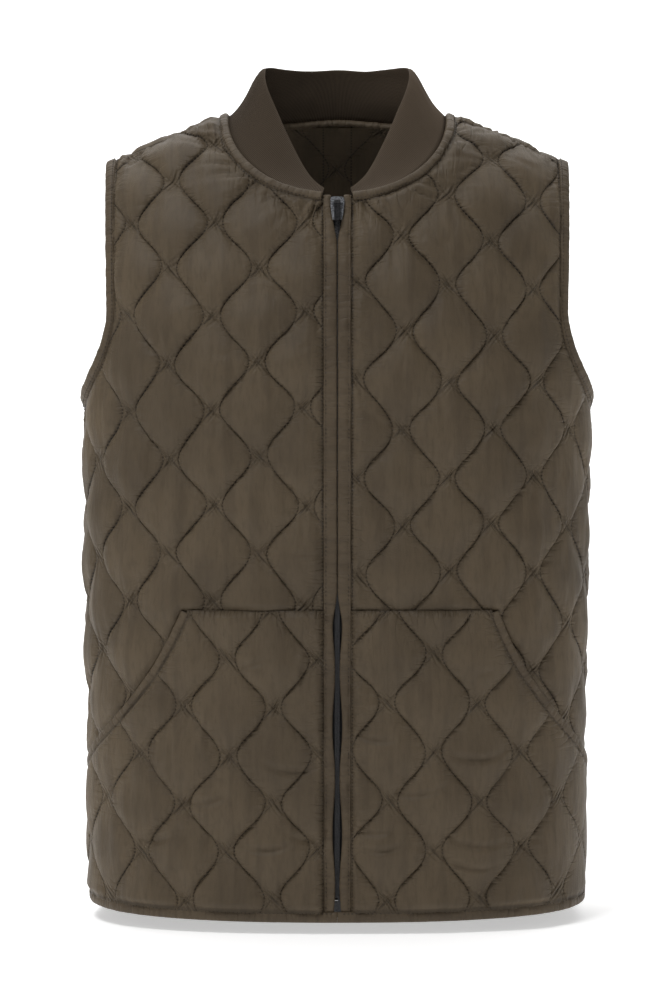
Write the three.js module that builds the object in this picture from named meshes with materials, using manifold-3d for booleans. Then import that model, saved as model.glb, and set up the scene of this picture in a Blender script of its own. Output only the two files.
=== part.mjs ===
import * as THREE from "three";
import { mergeVertices } from "three/addons/utils/BufferGeometryUtils.js";
import Module from "manifold-3d";

const wasm = await Module();
wasm.setup();

// Quilted vest, sizes in millimetres: x to the wearer's left, y to the back, z up, heights from the hem.
// Body sizes are to the plain inner face of the cloth.
const hemHalfWidth = 206.5;
const chestHalfWidth = 213;
const frontDepth = 123;
const backDepth = 114;
const frontHollow = 2;
const backHollow = 6;
const sectionPower = 2.7; // 2 is an ellipse, more is squarer
const chestHeight = 430; // the cloth hangs straight below it and closes to the shoulders above it
const crestCentre = 709;
const crestRounding = 30;
const shoulderSlope = 0.41;
const hemSideRise = 6;

const seamGap = 0.3;
const wall = 2;
const sideSeamForward = 14;
const shoulderSeamForward = 14;

// Neck seam, seen from the front as half an oval
const neckHalfWidth = 99.8;
const neckDrop = 81;
const neckPower = 2.1;
const neckEndAngle = 1.45; // the neck binding and collar stop here, at the placket
const neckSpots = 12;
const neckCrowding = 1.7; // above 1, the front's spots lie closer together near the shoulder
const backNeckDepth = 51;
const neckBindingWidth = 6.6;

// Armhole seam, as distances from the side line along the cloth
const armholeCentre = 500;
const armholeFront = 87;
const armholeBack = 80;
const armholeDrop = 82;
const armholeTop = 82;
const armholeBindingWidth = 9.4;
const armholeFlare = 0.35;
const armholeTurn = 0.2; // angle between spots on its round lower part
const armholeStep = 14; // and the distance between them above it

const hemBindingWidth = 6.5;
const bindingThickness = 4.2;
const frontHemThickness = 5.4; // it also covers the pocket's lower edge

// Quilting: wavy stitch lines side by side, each the mirror of its neighbours
const quiltPitch = 37.6;
const quiltSwing = 12;
const quiltPeriod = 78.7;
const quiltPuff = 5;
const rowsPerPeriod = 5;
const bandSteps = [0, 0.3, 0.7]; // columns between one stitch line and the next
const seamFade = 16; // the puffing dies out over this distance from a seam
const quilts = {
  frontRight: { origin: -8, phase: 295.5, start: 1 },
  frontLeft: { origin: 34.4, phase: 280, start: -1 },
  back: { origin: quiltPitch / 2, phase: 287, start: 1 },
  pocketRight: { origin: -34.5, phase: 53.6, start: 1 },
  pocketLeft: { origin: 23.4, phase: 55.5, start: -1 },
};

// Placket and zip
const placketOuter = 11.5;
const placketThickness = 3.2;
const placketTop = 592;
// Shares of the thickness at the placket's two sides, and how far in from them it reaches its full thickness
const placketShape = { seam: 0.7, edge: 0.6, seamRound: 1.5, edgeRound: 1 };
const pathStep = 24; // along the zip and plackets
const zipPartsBelow = 268; // the edges part below this height and show the zip
const zipClosedHalfGap = 0.5;
const zipOpenHalfGap = 3.4;
const zipOpenLength = 40;
const tapeHalfWidth = 10;
const tapeGap = 0.9; // from the plackets' inner face back to the tape
const tapeThickness = 0.9;
const coilHalfWidth = 2.8;
const coilThickness = 2.6;
const endBox = { width: 5.6, depth: 4.6, height: 12, base: 1.5 };
const endPin = { radius: 0.8, above: 3, sunk: 0.4 };
const sliderHeight = 580; // middle of the slider
const slider = { width: 11.4, foot: 8, height: 20, thickness: 1.8, base: 3.9 };
const web = { width: 3, height: 8, base: -0.6 }; // the post between the two rows of teeth
const webHalfGap = 2.2; // the plackets part this far round it
const hinge = { up: 4.5, out: 8.1, barRadius: 0.7, postWidth: 1.3, postDepth: 2.2, inside: 6 };
const pullTab = { width: 5.2, length: 17, thickness: 1.2, eyeInner: 1.1, eyeOuter: 1.9 };

// Pockets: a straight top edge, then a hand edge that slants down to the side line, in a curve on the cloth
const pocketTop = 250;
const pocketTopHalf = { right: 127, left: 131 };
const pocketBend = { s: 185, t: 160 }; // the curve heads for this place first
const pocketFoot = 112; // height at which the curve meets the side line
const pocketSpots = 16;
const pocketBase = 3.1; // the pocket's inner face stands this far out of the front's inner face
const pocketWall = 1.8;
const pocketEdgeWidth = 7.5;
const pocketEdgeThickness = 2.8;
const pocketMargin = 20; // the front stays plain this far outside a pocket, then puffs up again
const pocketFade = 10;

// Collar, standing on the neck seam and tapering to the zip
const collarHeight = 57;
const collarBackHeight = 44;
const collarTaper = 3.2;
const collarEndHeight = 3;
const collarThickness = 2.6;
const collarLean = { side: 38.6, front: 60, back: 25 }; // degrees from upright
const collarBow = 2.5;
const collarRows = [0, 0.35, 0.7, 0.98]; // shares of its height
const neckAxisY = -12;

const front = 1;
const back = -1;
const ellipseSteps = 40;
const reach = 1200; // taller than any panel's own height in the flat
const rollRadius = 2000;
const plainTolerance = 0.2; // faces of a panel this close to level are joined
const stripTolerance = 0.05; // and those of a strip

// Section of the body, a quarter of a rounded rectangle from the centre line to the side line
class BodySection extends THREE.Curve {
  getPoint(share, target = new THREE.Vector3()) {
    const angle = (share * Math.PI) / 2;
    const across = chestHalfWidth * Math.sin(angle) ** (2 / sectionPower);
    const deep = frontDepth * Math.max(Math.cos(angle), 0) ** (2 / sectionPower);
    return target.set(across, deep, 0);
  }
}

const bodySection = new BodySection();
bodySection.arcLengthDivisions = 400;
const quarter = bodySection.getLength();
const sideSeam = quarter - sideSeamForward;

const halfWidth = (t) => THREE.MathUtils.lerp(hemHalfWidth, chestHalfWidth, Math.min(t / chestHeight, 1));
const crestHeight = (x) => crestCentre - shoulderSlope * Math.hypot(x, crestRounding);

function bodyDepth(face, t) {
  const hollow = Math.sin((Math.PI * Math.min(Math.max(t, 0), chestHeight)) / chestHeight) ** 2;
  return face === front ? frontDepth - frontHollow * hollow : backDepth - backHollow * hollow;
}

// Walks up a quarter ellipse until its arc has the given length, or to its top
function walkEllipse(rise, depth, length) {
  const step = Math.PI / 2 / ellipseSteps;
  let walked = 0;
  for (let i = 0; i < ellipseSteps; i++) {
    const middle = (i + 0.5) * step;
    const piece = step * Math.hypot(rise * Math.cos(middle), depth * Math.sin(middle));
    if (walked + piece > length) return { angle: step * (i + (length - walked) / piece), walked: length };
    walked += piece;
  }
  return { angle: Math.PI / 2, walked };
}

function sectionAt(s) {
  const point = bodySection.getPointAt(Math.abs(s) / quarter);
  return { across: Math.sign(s) * (point.x / chestHalfWidth), deep: point.y / frontDepth };
}

// Height along the cloth at which one face meets the other over the shoulder
function crestLength(face, s) {
  const inside = Math.abs(s) > quarter ? 2 * quarter - Math.abs(s) : s;
  const { across, deep } = sectionAt(inside);
  const rise = crestHeight(across * chestHalfWidth) - chestHeight;
  return chestHeight + walkEllipse(rise, deep * bodyDepth(face, chestHeight), Infinity).walked;
}

// Point of the inner face: s along the cloth from the centre line, t up along it from the hem.
// Past the side line and past the crest the cloth goes on over the other face.
function surfacePoint(face, s, t) {
  if (Math.abs(s) > quarter) return surfacePoint(-face, Math.sign(s) * 2 * quarter - s, t);
  const { across, deep } = sectionAt(s);
  const x = across * halfWidth(t);
  const depth = deep * bodyDepth(face, t);
  if (t <= chestHeight) return new THREE.Vector3(x, -face * depth, t);
  const rise = crestHeight(x) - chestHeight;
  const { angle, walked } = walkEllipse(rise, depth, t - chestHeight);
  const past = t - chestHeight - walked;
  if (past > 0) return surfacePoint(-face, s, crestLength(-face, s) - past);
  return new THREE.Vector3(x, -face * depth * Math.cos(angle), chestHeight + rise * Math.sin(angle));
}

function surfaceNormal(face, s, t) {
  const step = 0.5;
  const alongS = surfacePoint(face, s + step, t).sub(surfacePoint(face, s - step, t));
  const alongT = surfacePoint(face, s, t + step).sub(surfacePoint(face, s, t - step));
  return alongS.cross(alongT).normalize().multiplyScalar(face);
}

const bodyPoint = (face, s, t, h) => surfacePoint(face, s, t).addScaledVector(surfaceNormal(face, s, t), h);

// Where a point seen from the front or back, at x and height z, lies along the cloth
function clothPlace(face, x, z) {
  const share = Math.min(Math.abs(x) / halfWidth(z), 1) ** (sectionPower / 2);
  const lengths = bodySection.getLengths();
  const place = (Math.asin(share) / (Math.PI / 2)) * (lengths.length - 1);
  const below = Math.min(Math.floor(place), lengths.length - 2);
  const s = Math.sign(x) * THREE.MathUtils.lerp(lengths[below], lengths[below + 1], place - below);
  if (z <= chestHeight) return new THREE.Vector2(s, z);
  const rise = crestHeight(x) - chestHeight;
  const depth = sectionAt(s).deep * bodyDepth(face, z);
  const angle = Math.asin(Math.min((z - chestHeight) / rise, 1));
  let walked = 0;
  for (let i = 0; i < ellipseSteps; i++) {
    const middle = ((i + 0.5) * angle) / ellipseSteps;
    walked += (angle / ellipseSteps) * Math.hypot(rise * Math.cos(middle), depth * Math.sin(middle));
  }
  return new THREE.Vector2(s, chestHeight + walked);
}

// A closed geometry as a solid that can be cut
function solidFrom(geometry) {
  const bare = geometry.clone().deleteAttribute("normal").deleteAttribute("uv");
  const merged = mergeVertices(bare, 1e-4);
  return new wasm.Manifold(
    new wasm.Mesh({
      numProp: 3,
      vertProperties: new Float32Array(merged.attributes.position.array),
      triVerts: new Uint32Array(merged.index.array),
    }),
  );
}

function geometryFrom(positions, index) {
  const geometry = new THREE.BufferGeometry();
  geometry.setAttribute("position", new THREE.BufferAttribute(new Float32Array(positions), 3));
  geometry.setIndex(index);
  return geometry;
}

function geometryOf(solid) {
  const mesh = solid.getMesh();
  return geometryFrom(mesh.vertProperties, Array.from(mesh.triVerts));
}

// Closed skin over rings of points. Each ring is a closed outline; the ends are capped unless it is a loop
function loft(rings, loop = false) {
  const count = rings[0].length;
  const positions = rings.flat().flatMap((p) => [p.x, p.y, p.z]);
  const index = [];
  const last = loop ? rings.length : rings.length - 1;
  for (let i = 0; i < last; i++) {
    const here = i * count;
    const next = ((i + 1) % rings.length) * count;
    for (let j = 0; j < count; j++) {
      const k = (j + 1) % count;
      index.push(here + j, next + j, next + k, here + j, next + k, here + k);
    }
  }
  if (!loop) {
    const end = (rings.length - 1) * count;
    for (let j = 1; j < count - 1; j++) {
      index.push(0, j, j + 1);
      index.push(end, end + j + 1, end + j);
    }
  }
  const outward = solidFrom(geometryFrom(positions, index)).volume() > 0;
  const solid = solidFrom(geometryFrom(positions, outward ? index : index.toReversed()));
  return geometryOf(solid.simplify(stripTolerance));
}

// Solid under a grid of tops, in the flat: columns of s at each t, down to a level floor
function slab(columns, rows, top, floor) {
  const positions = [];
  for (const level of [0, 1]) {
    rows.forEach((t) => {
      columns.forEach((column, i) => {
        const s = column.at(t);
        positions.push(s, t, level ? top(i, s, t) : floor);
      });
    });
  }
  const wide = columns.length;
  const size = wide * rows.length;
  const index = [];
  const quad = (a, b, c, d) => index.push(a, b, c, a, c, d);
  for (let r = 0; r < rows.length - 1; r++) {
    for (let c = 0; c < wide - 1; c++) {
      const a = r * wide + c;
      quad(size + a, size + a + 1, size + a + wide + 1, size + a + wide);
      quad(a, a + wide, a + wide + 1, a + 1);
    }
    const left = r * wide;
    const right = left + wide - 1;
    quad(left, size + left, size + left + wide, left + wide);
    quad(right, right + wide, size + right + wide, size + right);
  }
  const lastRow = (rows.length - 1) * wide;
  for (let c = 0; c < wide - 1; c++) {
    quad(c, c + 1, size + c + 1, size + c);
    quad(lastRow + c, size + lastRow + c, size + lastRow + c + 1, lastRow + c + 1);
  }
  return solidFrom(geometryFrom(positions, index));
}

// Upright block over an outline drawn in the flat
function block(outline) {
  const shape = new THREE.Shape(outline);
  const geometry = new THREE.ExtrudeGeometry(shape, { depth: 2 * reach, bevelEnabled: false });
  return solidFrom(geometry.translate(0, 0, -reach));
}

// Keeps neighbouring faces of a flat panel from lying in one plane; taken off again on the body
const roll = (s, t) => (s * s + t * t) / (2 * rollRadius);

const evenSteps = (from, to, step) => {
  const count = Math.max(1, Math.round((to - from) / step));
  return Array.from({ length: count + 1 }, (_, i) => from + ((to - from) * i) / count);
};

const smooth = (x) => THREE.MathUtils.smoothstep(x, 0, 1);

function outlineDistance(outline, s, t) {
  const here = new THREE.Vector3(s, t, 0);
  const nearest = new THREE.Vector3();
  let least = Infinity;
  outline.forEach((p, i) => {
    const q = outline[(i + 1) % outline.length];
    const edge = new THREE.Line3(new THREE.Vector3(p.x, p.y, 0), new THREE.Vector3(q.x, q.y, 0));
    edge.closestPointToPoint(here, true, nearest);
    least = Math.min(least, nearest.distanceTo(here));
  });
  return least;
}

function isInside(outline, s, t) {
  let inside = false;
  outline.forEach((p, i) => {
    const q = outline[(i + 1) % outline.length];
    if (p.y > t !== q.y > t && s < ((q.x - p.x) * (t - p.y)) / (q.y - p.y) + p.x) inside = !inside;
  });
  return inside;
}

// Stitch line number k of a quilt, at height t along the cloth
function stitchLine(quilt, k, t) {
  const swing = quiltSwing * Math.cos((2 * Math.PI * (t - quilt.phase)) / quiltPeriod);
  return quilt.origin + quiltPitch * k + quilt.start * (k % 2 === 0 ? 1 : -1) * swing;
}

function quiltColumns(quilt, from, to) {
  const columns = [];
  const first = Math.floor((from - quilt.origin) / quiltPitch) - 1;
  const last = Math.ceil((to - quilt.origin) / quiltPitch) + 1;
  for (let k = first; k < last; k++) {
    for (const share of bandSteps) {
      const width = (t) => stitchLine(quilt, k + 1, t) - stitchLine(quilt, k, t);
      columns.push({
        at: (t) => stitchLine(quilt, k, t) + share * width(t),
        lift: (t) => (width(t) / (quiltPitch + 2 * quiltSwing)) ** 0.7 * Math.sin(Math.PI * share) ** 0.8,
      });
    }
  }
  return columns;
}

// Columns and rows of the plain inner face, closer where the body is rounder
const roundStep = 17;
const flatStep = 36;
const flatHalf = 110;

function plainColumns(from, to) {
  const marks = [from, -flatHalf, flatHalf, to].filter((s) => s >= from && s <= to);
  const stops = marks.slice(1).flatMap((s, i) => {
    const flat = Math.abs(s + marks[i]) / 2 < flatHalf;
    return evenSteps(marks[i], s, flat ? flatStep : roundStep).slice(1);
  });
  return [from, ...stops].map((s) => ({ at: () => s }));
}

function plainRows(from, to) {
  const rounder = Math.min(to, chestHeight + 100);
  const rows = evenSteps(from, rounder, flatStep);
  return to > rounder ? [...rows, ...evenSteps(rounder, to, roundStep).slice(1)] : rows;
}

// A quilted panel: cut in the flat from its outline, its outer points raised, then laid on the body
function quiltedPanel({ face, quilt, outline, holes = [], base = 0, thickness = wall, calm = () => 1 }) {
  const box = new THREE.Box2().setFromPoints(outline);
  const [sFrom, sTo] = [box.min.x - seamFade, box.max.x + seamFade];
  const [tFrom, tTo] = [box.min.y - seamFade, box.max.y + seamFade];
  const columns = quiltColumns(quilt, sFrom, sTo);
  const rows = evenSteps(tFrom, tTo, quiltPeriod / rowsPerPeriod);
  const seams = [outline, ...holes];
  const raised = (i, s, t) => {
    const onPanel = isInside(outline, s, t) && !holes.some((hole) => isInside(hole, s, t));
    const nearest = onPanel ? Math.min(...seams.map((seam) => outlineDistance(seam, s, t))) : 0;
    const fade = smooth(nearest / seamFade) * calm(s, t);
    return base + thickness + quiltPuff * columns[i].lift(t) * fade + roll(s, t);
  };
  const margin = 3 * quiltPitch;
  const innerColumns = plainColumns(sFrom - margin, sTo + margin);
  const innerRows = plainRows(tFrom - flatStep, tTo + flatStep);
  const inner = slab(innerColumns, innerRows, (i, s, t) => base + roll(s, t), -2 * reach);
  let solid = slab(columns, rows, raised, -reach).subtract(inner).intersect(block(outline));
  for (const hole of holes) solid = solid.subtract(block(hole));
  return layOnBody(solid, face);
}

function layOnBody(solid, face) {
  const mesh = solid.getMesh();
  const positions = [];
  for (let i = 0; i < mesh.numVert; i++) {
    const [s, t, h] = mesh.vertProperties.subarray(i * mesh.numProp, i * mesh.numProp + 3);
    positions.push(...bodyPoint(face, s, t, h - roll(s, t)).toArray());
  }
  const index = Array.from(mesh.triVerts);
  const laid = solidFrom(geometryFrom(positions, face === front ? index : index.toReversed()));
  return geometryOf(laid.simplify(plainTolerance));
}

// A strip sewn along a path: each ring is the profile, set sideways and outwards from the path's point
function strip(path, profile, { loop = false, turn = 1 } = {}) {
  const rings = path.map((place, i) => {
    const before = path[loop ? (i + path.length - 1) % path.length : Math.max(i - 1, 0)];
    const after = path[loop ? (i + 1) % path.length : Math.min(i + 1, path.length - 1)];
    const tangent = after.point.clone().sub(before.point).normalize();
    const sideways = place.normal.clone().cross(tangent).normalize().multiplyScalar(turn);
    return profile(i).map(({ a, h }) =>
      place.point.clone().addScaledVector(sideways, a).addScaledVector(place.normal, h));
  });
  return loft(rings, loop);
}

const pathPlace = (face, s, t) => ({
  face,
  s,
  t,
  point: surfacePoint(face, s, t),
  normal: surfaceNormal(face, s, t),
});

// Rounded cross-section of a binding from its seam to its free edge, as shares of its width and thickness
const bindingShape = { seam: 0.75, rise: 0.3, fall: 0.75, edge: 0.55, turnUnder: 0.4 };

function bindingProfile(width, thickness, { from = -seamGap, flare = 0, gap = seamGap } = {}) {
  const { seam, rise, fall, edge, turnUnder } = bindingShape;
  return [
    { a: gap, h: from },
    { a: gap, h: thickness * seam },
    { a: width * rise, h: thickness + flare * width * rise },
    { a: width * fall, h: thickness + flare * width * fall },
    { a: width + seamGap, h: thickness * edge + flare * width },
    { a: width + seamGap, h: from + turnUnder + flare * width },
    { a: width / 2, h: from },
  ];
}

// Seam lines in the flat
const hemLine = (s) => {
  const inside = Math.min(Math.abs(s), 2 * quarter - Math.abs(s));
  return hemSideRise * (inside / quarter) ** 2;
};

function neckSeam(face, angle, side) {
  const power = 2 / neckPower;
  if (face === front) {
    const x = neckHalfWidth * Math.cos(angle) ** power;
    const z = crestHeight(neckHalfWidth) - neckDrop * Math.sin(angle) ** power;
    return clothPlace(front, side * x, z);
  }
  const x = neckHalfWidth * Math.cos(angle);
  const y = backNeckDepth * Math.sin(angle);
  const across = clothPlace(back, side * x, chestHeight).x;
  const closing = Math.min(y / (sectionAt(across).deep * bodyDepth(back, chestHeight)), 1);
  const rise = crestHeight(x) - chestHeight;
  return clothPlace(back, side * x, chestHeight + rise * Math.sqrt(1 - closing ** 2));
}

// Angles round the neck seam from the crest, closer together near it
const neckAngles = (face) =>
  evenSteps(0, 1, 1 / neckSpots).map((share) => neckEndAngle * share ** (face === front ? neckCrowding : 1));

// Distance of the armhole seam in from the side line, at height t along the cloth
function armholeSeam(face, t) {
  const widest = face === front ? armholeFront : armholeBack;
  if (t > armholeCentre) {
    const top = crestLength(face, quarter - armholeTop);
    return THREE.MathUtils.lerp(widest, armholeTop, (t - armholeCentre) / (top - armholeCentre));
  }
  return widest * Math.sqrt(Math.max(0, 1 - ((armholeCentre - t) / armholeDrop) ** 2));
}

const armholeBottom = (face, v) => {
  const widest = face === front ? armholeFront : armholeBack;
  return armholeCentre - armholeDrop * Math.sqrt(1 - (v / widest) ** 2);
};

const flat = (s, t) => new THREE.Vector2(s, t);

// Hole of one armhole in the flat of a face, on past the side line and the crest
function armholeHole(face, side) {
  const past = 24;
  const points = evenSteps(-past, 0, 8).map((v) => flat(side * (quarter - v), armholeBottom(-face, v)));
  for (const angle of evenSteps(0, Math.PI / 2, armholeTurn).slice(1)) {
    const t = armholeCentre - armholeDrop * Math.cos(angle);
    points.push(flat(side * (quarter - armholeSeam(face, t)), t));
  }
  const crest = crestLength(face, quarter - armholeTop);
  for (const t of [...evenSteps(armholeCentre, crest, armholeStep).slice(1), crest + past]) {
    points.push(flat(side * (quarter - armholeSeam(face, t)), t));
  }
  points.push(flat(side * (quarter + past * 3), crest + past));
  points.push(flat(side * (quarter + past * 3), points[0].y));
  return points;
}

// Hole of the neck in the flat of a face, on past the crest
function neckHole(face) {
  const arc = [Math.PI / 2, ...neckAngles(face).toReversed()].map((angle) => neckSeam(face, angle, 1));
  const rim = arc[arc.length - 1];
  const half = [...arc, flat(rim.x, crestLength(face, 0) + 2 * shoulderSeamForward)];
  const mirrored = half.map((p) => flat(-p.x, p.y)).reverse();
  return [...mirrored.slice(0, -1), ...half];
}

function frontOutline(side) {
  const inner = placketOuter + seamGap / 2;
  const outer = sideSeam - seamGap / 2;
  const spots = evenSteps(inner, outer, 15);
  const hem = spots.map((s) => flat(side * s, hemBindingWidth + seamGap + hemLine(s)));
  const forward = shoulderSeamForward + seamGap / 2;
  const shoulder = spots.map((s) => flat(side * s, crestLength(front, s) - forward));
  return [...hem, ...shoulder.reverse()];
}

function backOutline() {
  const outer = 2 * quarter - sideSeam - seamGap / 2;
  const spots = evenSteps(-outer, outer, 15);
  const hem = spots.map((s) => flat(s, hemBindingWidth + seamGap + hemLine(s)));
  const shoulder = spots.map((s) => flat(s, crestLength(back, s) + shoulderSeamForward - seamGap / 2));
  return [...hem, ...shoulder.reverse()];
}

// Hand edge of a pocket on the left half of the cloth, moved into the pocket by the inset
function pocketHand(side, inset) {
  const corner = clothPlace(front, side > 0 ? pocketTopHalf.left : pocketTopHalf.right, pocketTop);
  const bend = flat(pocketBend.s, pocketBend.t);
  const curve = new THREE.QuadraticBezierCurve(corner, bend, flat(quarter, pocketFoot));
  return evenSteps(0, 1, 1 / pocketSpots).map((u) => {
    const along = curve.getTangent(u);
    return curve.getPoint(u).add(flat(along.y, -along.x).multiplyScalar(inset));
  });
}

// Place where the line through two places in the flat has the given s or t
const placeAtS = (a, b, s) => a.clone().lerp(b, (s - a.x) / (b.x - a.x));
const placeAtT = (a, b, t) => a.clone().lerp(b, (t - a.y) / (b.y - a.y));

function pocketOutline(side, inset) {
  const inner = placketOuter + seamGap / 2;
  const outer = sideSeam - seamGap / 2;
  const hand = pocketHand(side, inset);
  const beyond = hand.findIndex((place) => place.x > outer);
  const top = placeAtT(hand[0], hand[1], pocketTop);
  const low = placeAtS(hand[beyond - 1], hand[beyond], outer);
  const hem = evenSteps(inner, outer, 15).map((s) => flat(s, hemBindingWidth + seamGap + hemLine(s)));
  const edge = [low, ...hand.slice(1, beyond).reverse(), top, flat(inner, pocketTop)];
  return [...hem, ...edge].map((place) => flat(side * place.x, place.y));
}

// The quilting lies flat under a pocket and fades in just outside it
function calmUnder(outline) {
  return (s, t) => {
    if (isInside(outline, s, t)) return 0;
    return smooth((outlineDistance(outline, s, t) - pocketMargin) / pocketFade);
  };
}

const upright = (outline, side) => (side > 0 ? outline : outline.toReversed());

function frontPanel(side, quilt) {
  return quiltedPanel({
    face: front,
    quilt,
    outline: upright(frontOutline(side), side),
    holes: [neckHole(front), upright(armholeHole(front, side), -side)],
    calm: calmUnder(pocketOutline(side, 0)),
  });
}

function backPanel() {
  return quiltedPanel({
    face: back,
    quilt: quilts.back,
    outline: backOutline(),
    holes: [neckHole(back), upright(armholeHole(back, 1), -1), upright(armholeHole(back, -1), 1)],
  });
}

function pocketPanel(side, quilt) {
  return quiltedPanel({
    face: front,
    quilt,
    outline: upright(pocketOutline(side, pocketEdgeWidth + seamGap), side),
    base: pocketBase,
    thickness: pocketWall,
  });
}

function pocketEdge(side) {
  const hand = pocketHand(side, pocketEdgeWidth + seamGap);
  const last = sideSeam - pocketEdgeWidth; // so that its outer edge keeps off the side seam
  const beyond = hand.findIndex((place) => place.x > last);
  const places = [...hand.slice(0, beyond), placeAtS(hand[beyond - 1], hand[beyond], last)];
  const path = places.map((place) => pathPlace(front, side * place.x, place.y));
  const profile = bindingProfile(pocketEdgeWidth, pocketEdgeThickness, { from: 0 });
  return strip(path, () => profile.map(({ a, h }) => ({ a, h: h + pocketBase })), { turn: side });
}

// Half the gap between the zip's edges at height t
function zipHalfGap(t) {
  const low = smooth((zipPartsBelow - t) / zipOpenLength) * (zipOpenHalfGap - zipClosedHalfGap);
  const high = smooth((t - sliderHeight + web.height) / web.height) * (webHalfGap - zipClosedHalfGap);
  return zipClosedHalfGap + low + high;
}

function placket(side) {
  const lower = evenSteps(hemBindingWidth + seamGap, sliderHeight - web.height, pathStep);
  const ts = [...lower, sliderHeight, placketTop];
  const path = ts.map((t) => pathPlace(front, side * (placketOuter - seamGap), t));
  const width = (t) => placketOuter - seamGap - zipHalfGap(t);
  const { seam, edge, seamRound, edgeRound } = placketShape;
  return strip(path, (i) => [
    { a: 0, h: 0 },
    { a: 0, h: placketThickness * seam },
    { a: seamRound, h: placketThickness },
    { a: width(ts[i]) - edgeRound, h: placketThickness },
    { a: width(ts[i]), h: placketThickness * edge },
    { a: width(ts[i]), h: 0 },
  ], { turn: side });
}

function hemBinding(face, from, to, thickness) {
  const path = evenSteps(from, to, 15).map((s) => pathPlace(face, s, hemBindingWidth + seamGap + hemLine(s)));
  return strip(path, () => bindingProfile(hemBindingWidth, thickness), { turn: -face });
}

function armholePath(side) {
  const half = (face) => {
    const angles = evenSteps(0, Math.PI / 2, armholeTurn).slice(0, -1);
    const low = angles.map((angle) => armholeCentre - armholeDrop * Math.cos(angle));
    const top = crestLength(face, quarter - armholeTop);
    const ts = [...low, ...evenSteps(armholeCentre, top, armholeStep)];
    return ts.map((t) => pathPlace(face, side * (quarter - armholeSeam(face, t)), t));
  };
  return [...half(front), ...half(back).slice(1, -1).reverse()];
}

function armholeBinding(side) {
  const path = armholePath(side);
  const profile = (i) => {
    const low = smooth((armholeCentre - path[i].point.z) / armholeDrop);
    const flare = armholeFlare * low;
    return bindingProfile(armholeBindingWidth, bindingThickness, { flare, gap: 2 * seamGap });
  };
  return strip(path, profile, { loop: true, turn: -side });
}

// Neck seam from the right placket round the back to the left placket, with its angle from the side
function neckPath() {
  const ahead = neckAngles(front).map((angle) => ({ angle, face: front }));
  const behind = [...neckAngles(back), Math.PI / 2].map((angle) => ({ angle, face: back }));
  const half = [...ahead.slice(1).reverse(), ...behind];
  const place = (side) => ({ angle, face }) => {
    const spot = neckSeam(face, angle, side);
    return { ...pathPlace(face, spot.x, spot.y), angle };
  };
  return [...half.map(place(-1)), ...half.slice(0, -1).reverse().map(place(1))];
}

function neckBinding() {
  return strip(neckPath(), () => bindingProfile(neckBindingWidth, bindingThickness), { turn: -1 });
}

function collarShape({ face, angle }) {
  const { side, front: ahead, back: behind } = collarLean;
  const share = Math.sin(angle) ** 2;
  const lean = THREE.MathUtils.degToRad(THREE.MathUtils.lerp(side, face === front ? ahead : behind, share));
  const tapered = collarHeight * (1 - (angle / (Math.PI / 2)) ** collarTaper);
  const height = face === front ? tapered : THREE.MathUtils.lerp(collarHeight, collarBackHeight, share);
  return { lean, height: Math.max(height, collarEndHeight) };
}

function collar() {
  const path = neckPath();
  const rings = path.map((place, i) => {
    const before = path[Math.max(i - 1, 0)];
    const after = path[Math.min(i + 1, path.length - 1)];
    const tangent = after.point.clone().sub(before.point).normalize();
    const sideways = tangent.clone().cross(place.normal).normalize();
    const foot = place.point.clone().addScaledVector(sideways, neckBindingWidth + 3 * seamGap);
    const inward = new THREE.Vector3(-foot.x, neckAxisY - foot.y, 0).normalize();
    const { lean, height } = collarShape(place);
    const rise = inward.clone().multiplyScalar(Math.sin(lean)).setZ(Math.cos(lean));
    const outward = rise.clone().cross(tangent).normalize();
    const bow = (v) => collarBow * Math.sin(Math.PI * v) * (height / collarHeight);
    const outer = collarRows.map((v) => ({ v, h: 0 }));
    const inner = collarRows.toReversed().map((v) => ({ v, h: -collarThickness }));
    return [...outer, { v: 1, h: -collarThickness / 2 }, ...inner].map(({ v, h }) =>
      foot.clone().addScaledVector(rise, v * height).addScaledVector(outward, h + bow(v)));
  });
  return loft(rings);
}

function zipChain() {
  const ts = evenSteps(endBox.base + endBox.height + seamGap, placketTop - 1, pathStep);
  const path = ts.map((t) => pathPlace(front, 0, t));
  const topOfTape = -tapeGap;
  const profile = [
    { a: -tapeHalfWidth, h: topOfTape - tapeThickness },
    { a: -tapeHalfWidth, h: topOfTape },
    { a: tapeHalfWidth, h: topOfTape },
    { a: tapeHalfWidth, h: topOfTape - tapeThickness },
    { a: coilHalfWidth, h: topOfTape - tapeThickness },
    { a: coilHalfWidth * 0.7, h: topOfTape - coilThickness },
    { a: -coilHalfWidth * 0.7, h: topOfTape - coilThickness },
    { a: -coilHalfWidth, h: topOfTape - tapeThickness },
  ];
  return strip(path, () => profile);
}

// Group standing on the front's centre line, its y pointing in through the cloth and its z up along it
function onFront(t) {
  const normal = surfaceNormal(front, 0, t);
  const stand = new THREE.Group();
  stand.position.copy(surfacePoint(front, 0, t));
  stand.rotation.x = -Math.atan2(normal.z, -normal.y);
  return stand;
}

// A flat outline in x and z, thickened outwards from the height base above the cloth
function plate(shape, thickness, base) {
  const options = { depth: thickness, bevelEnabled: false, curveSegments: 6 };
  return new THREE.ExtrudeGeometry(shape, options).rotateX(Math.PI / 2).translate(0, -base, 0);
}

const boxAt = (width, depth, height, x, y, z) =>
  new THREE.BoxGeometry(width, depth, height).translate(x, y, z);

function joined(geometries) {
  return geometryOf(geometries.map(solidFrom).reduce((whole, part) => whole.add(part)));
}

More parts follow.
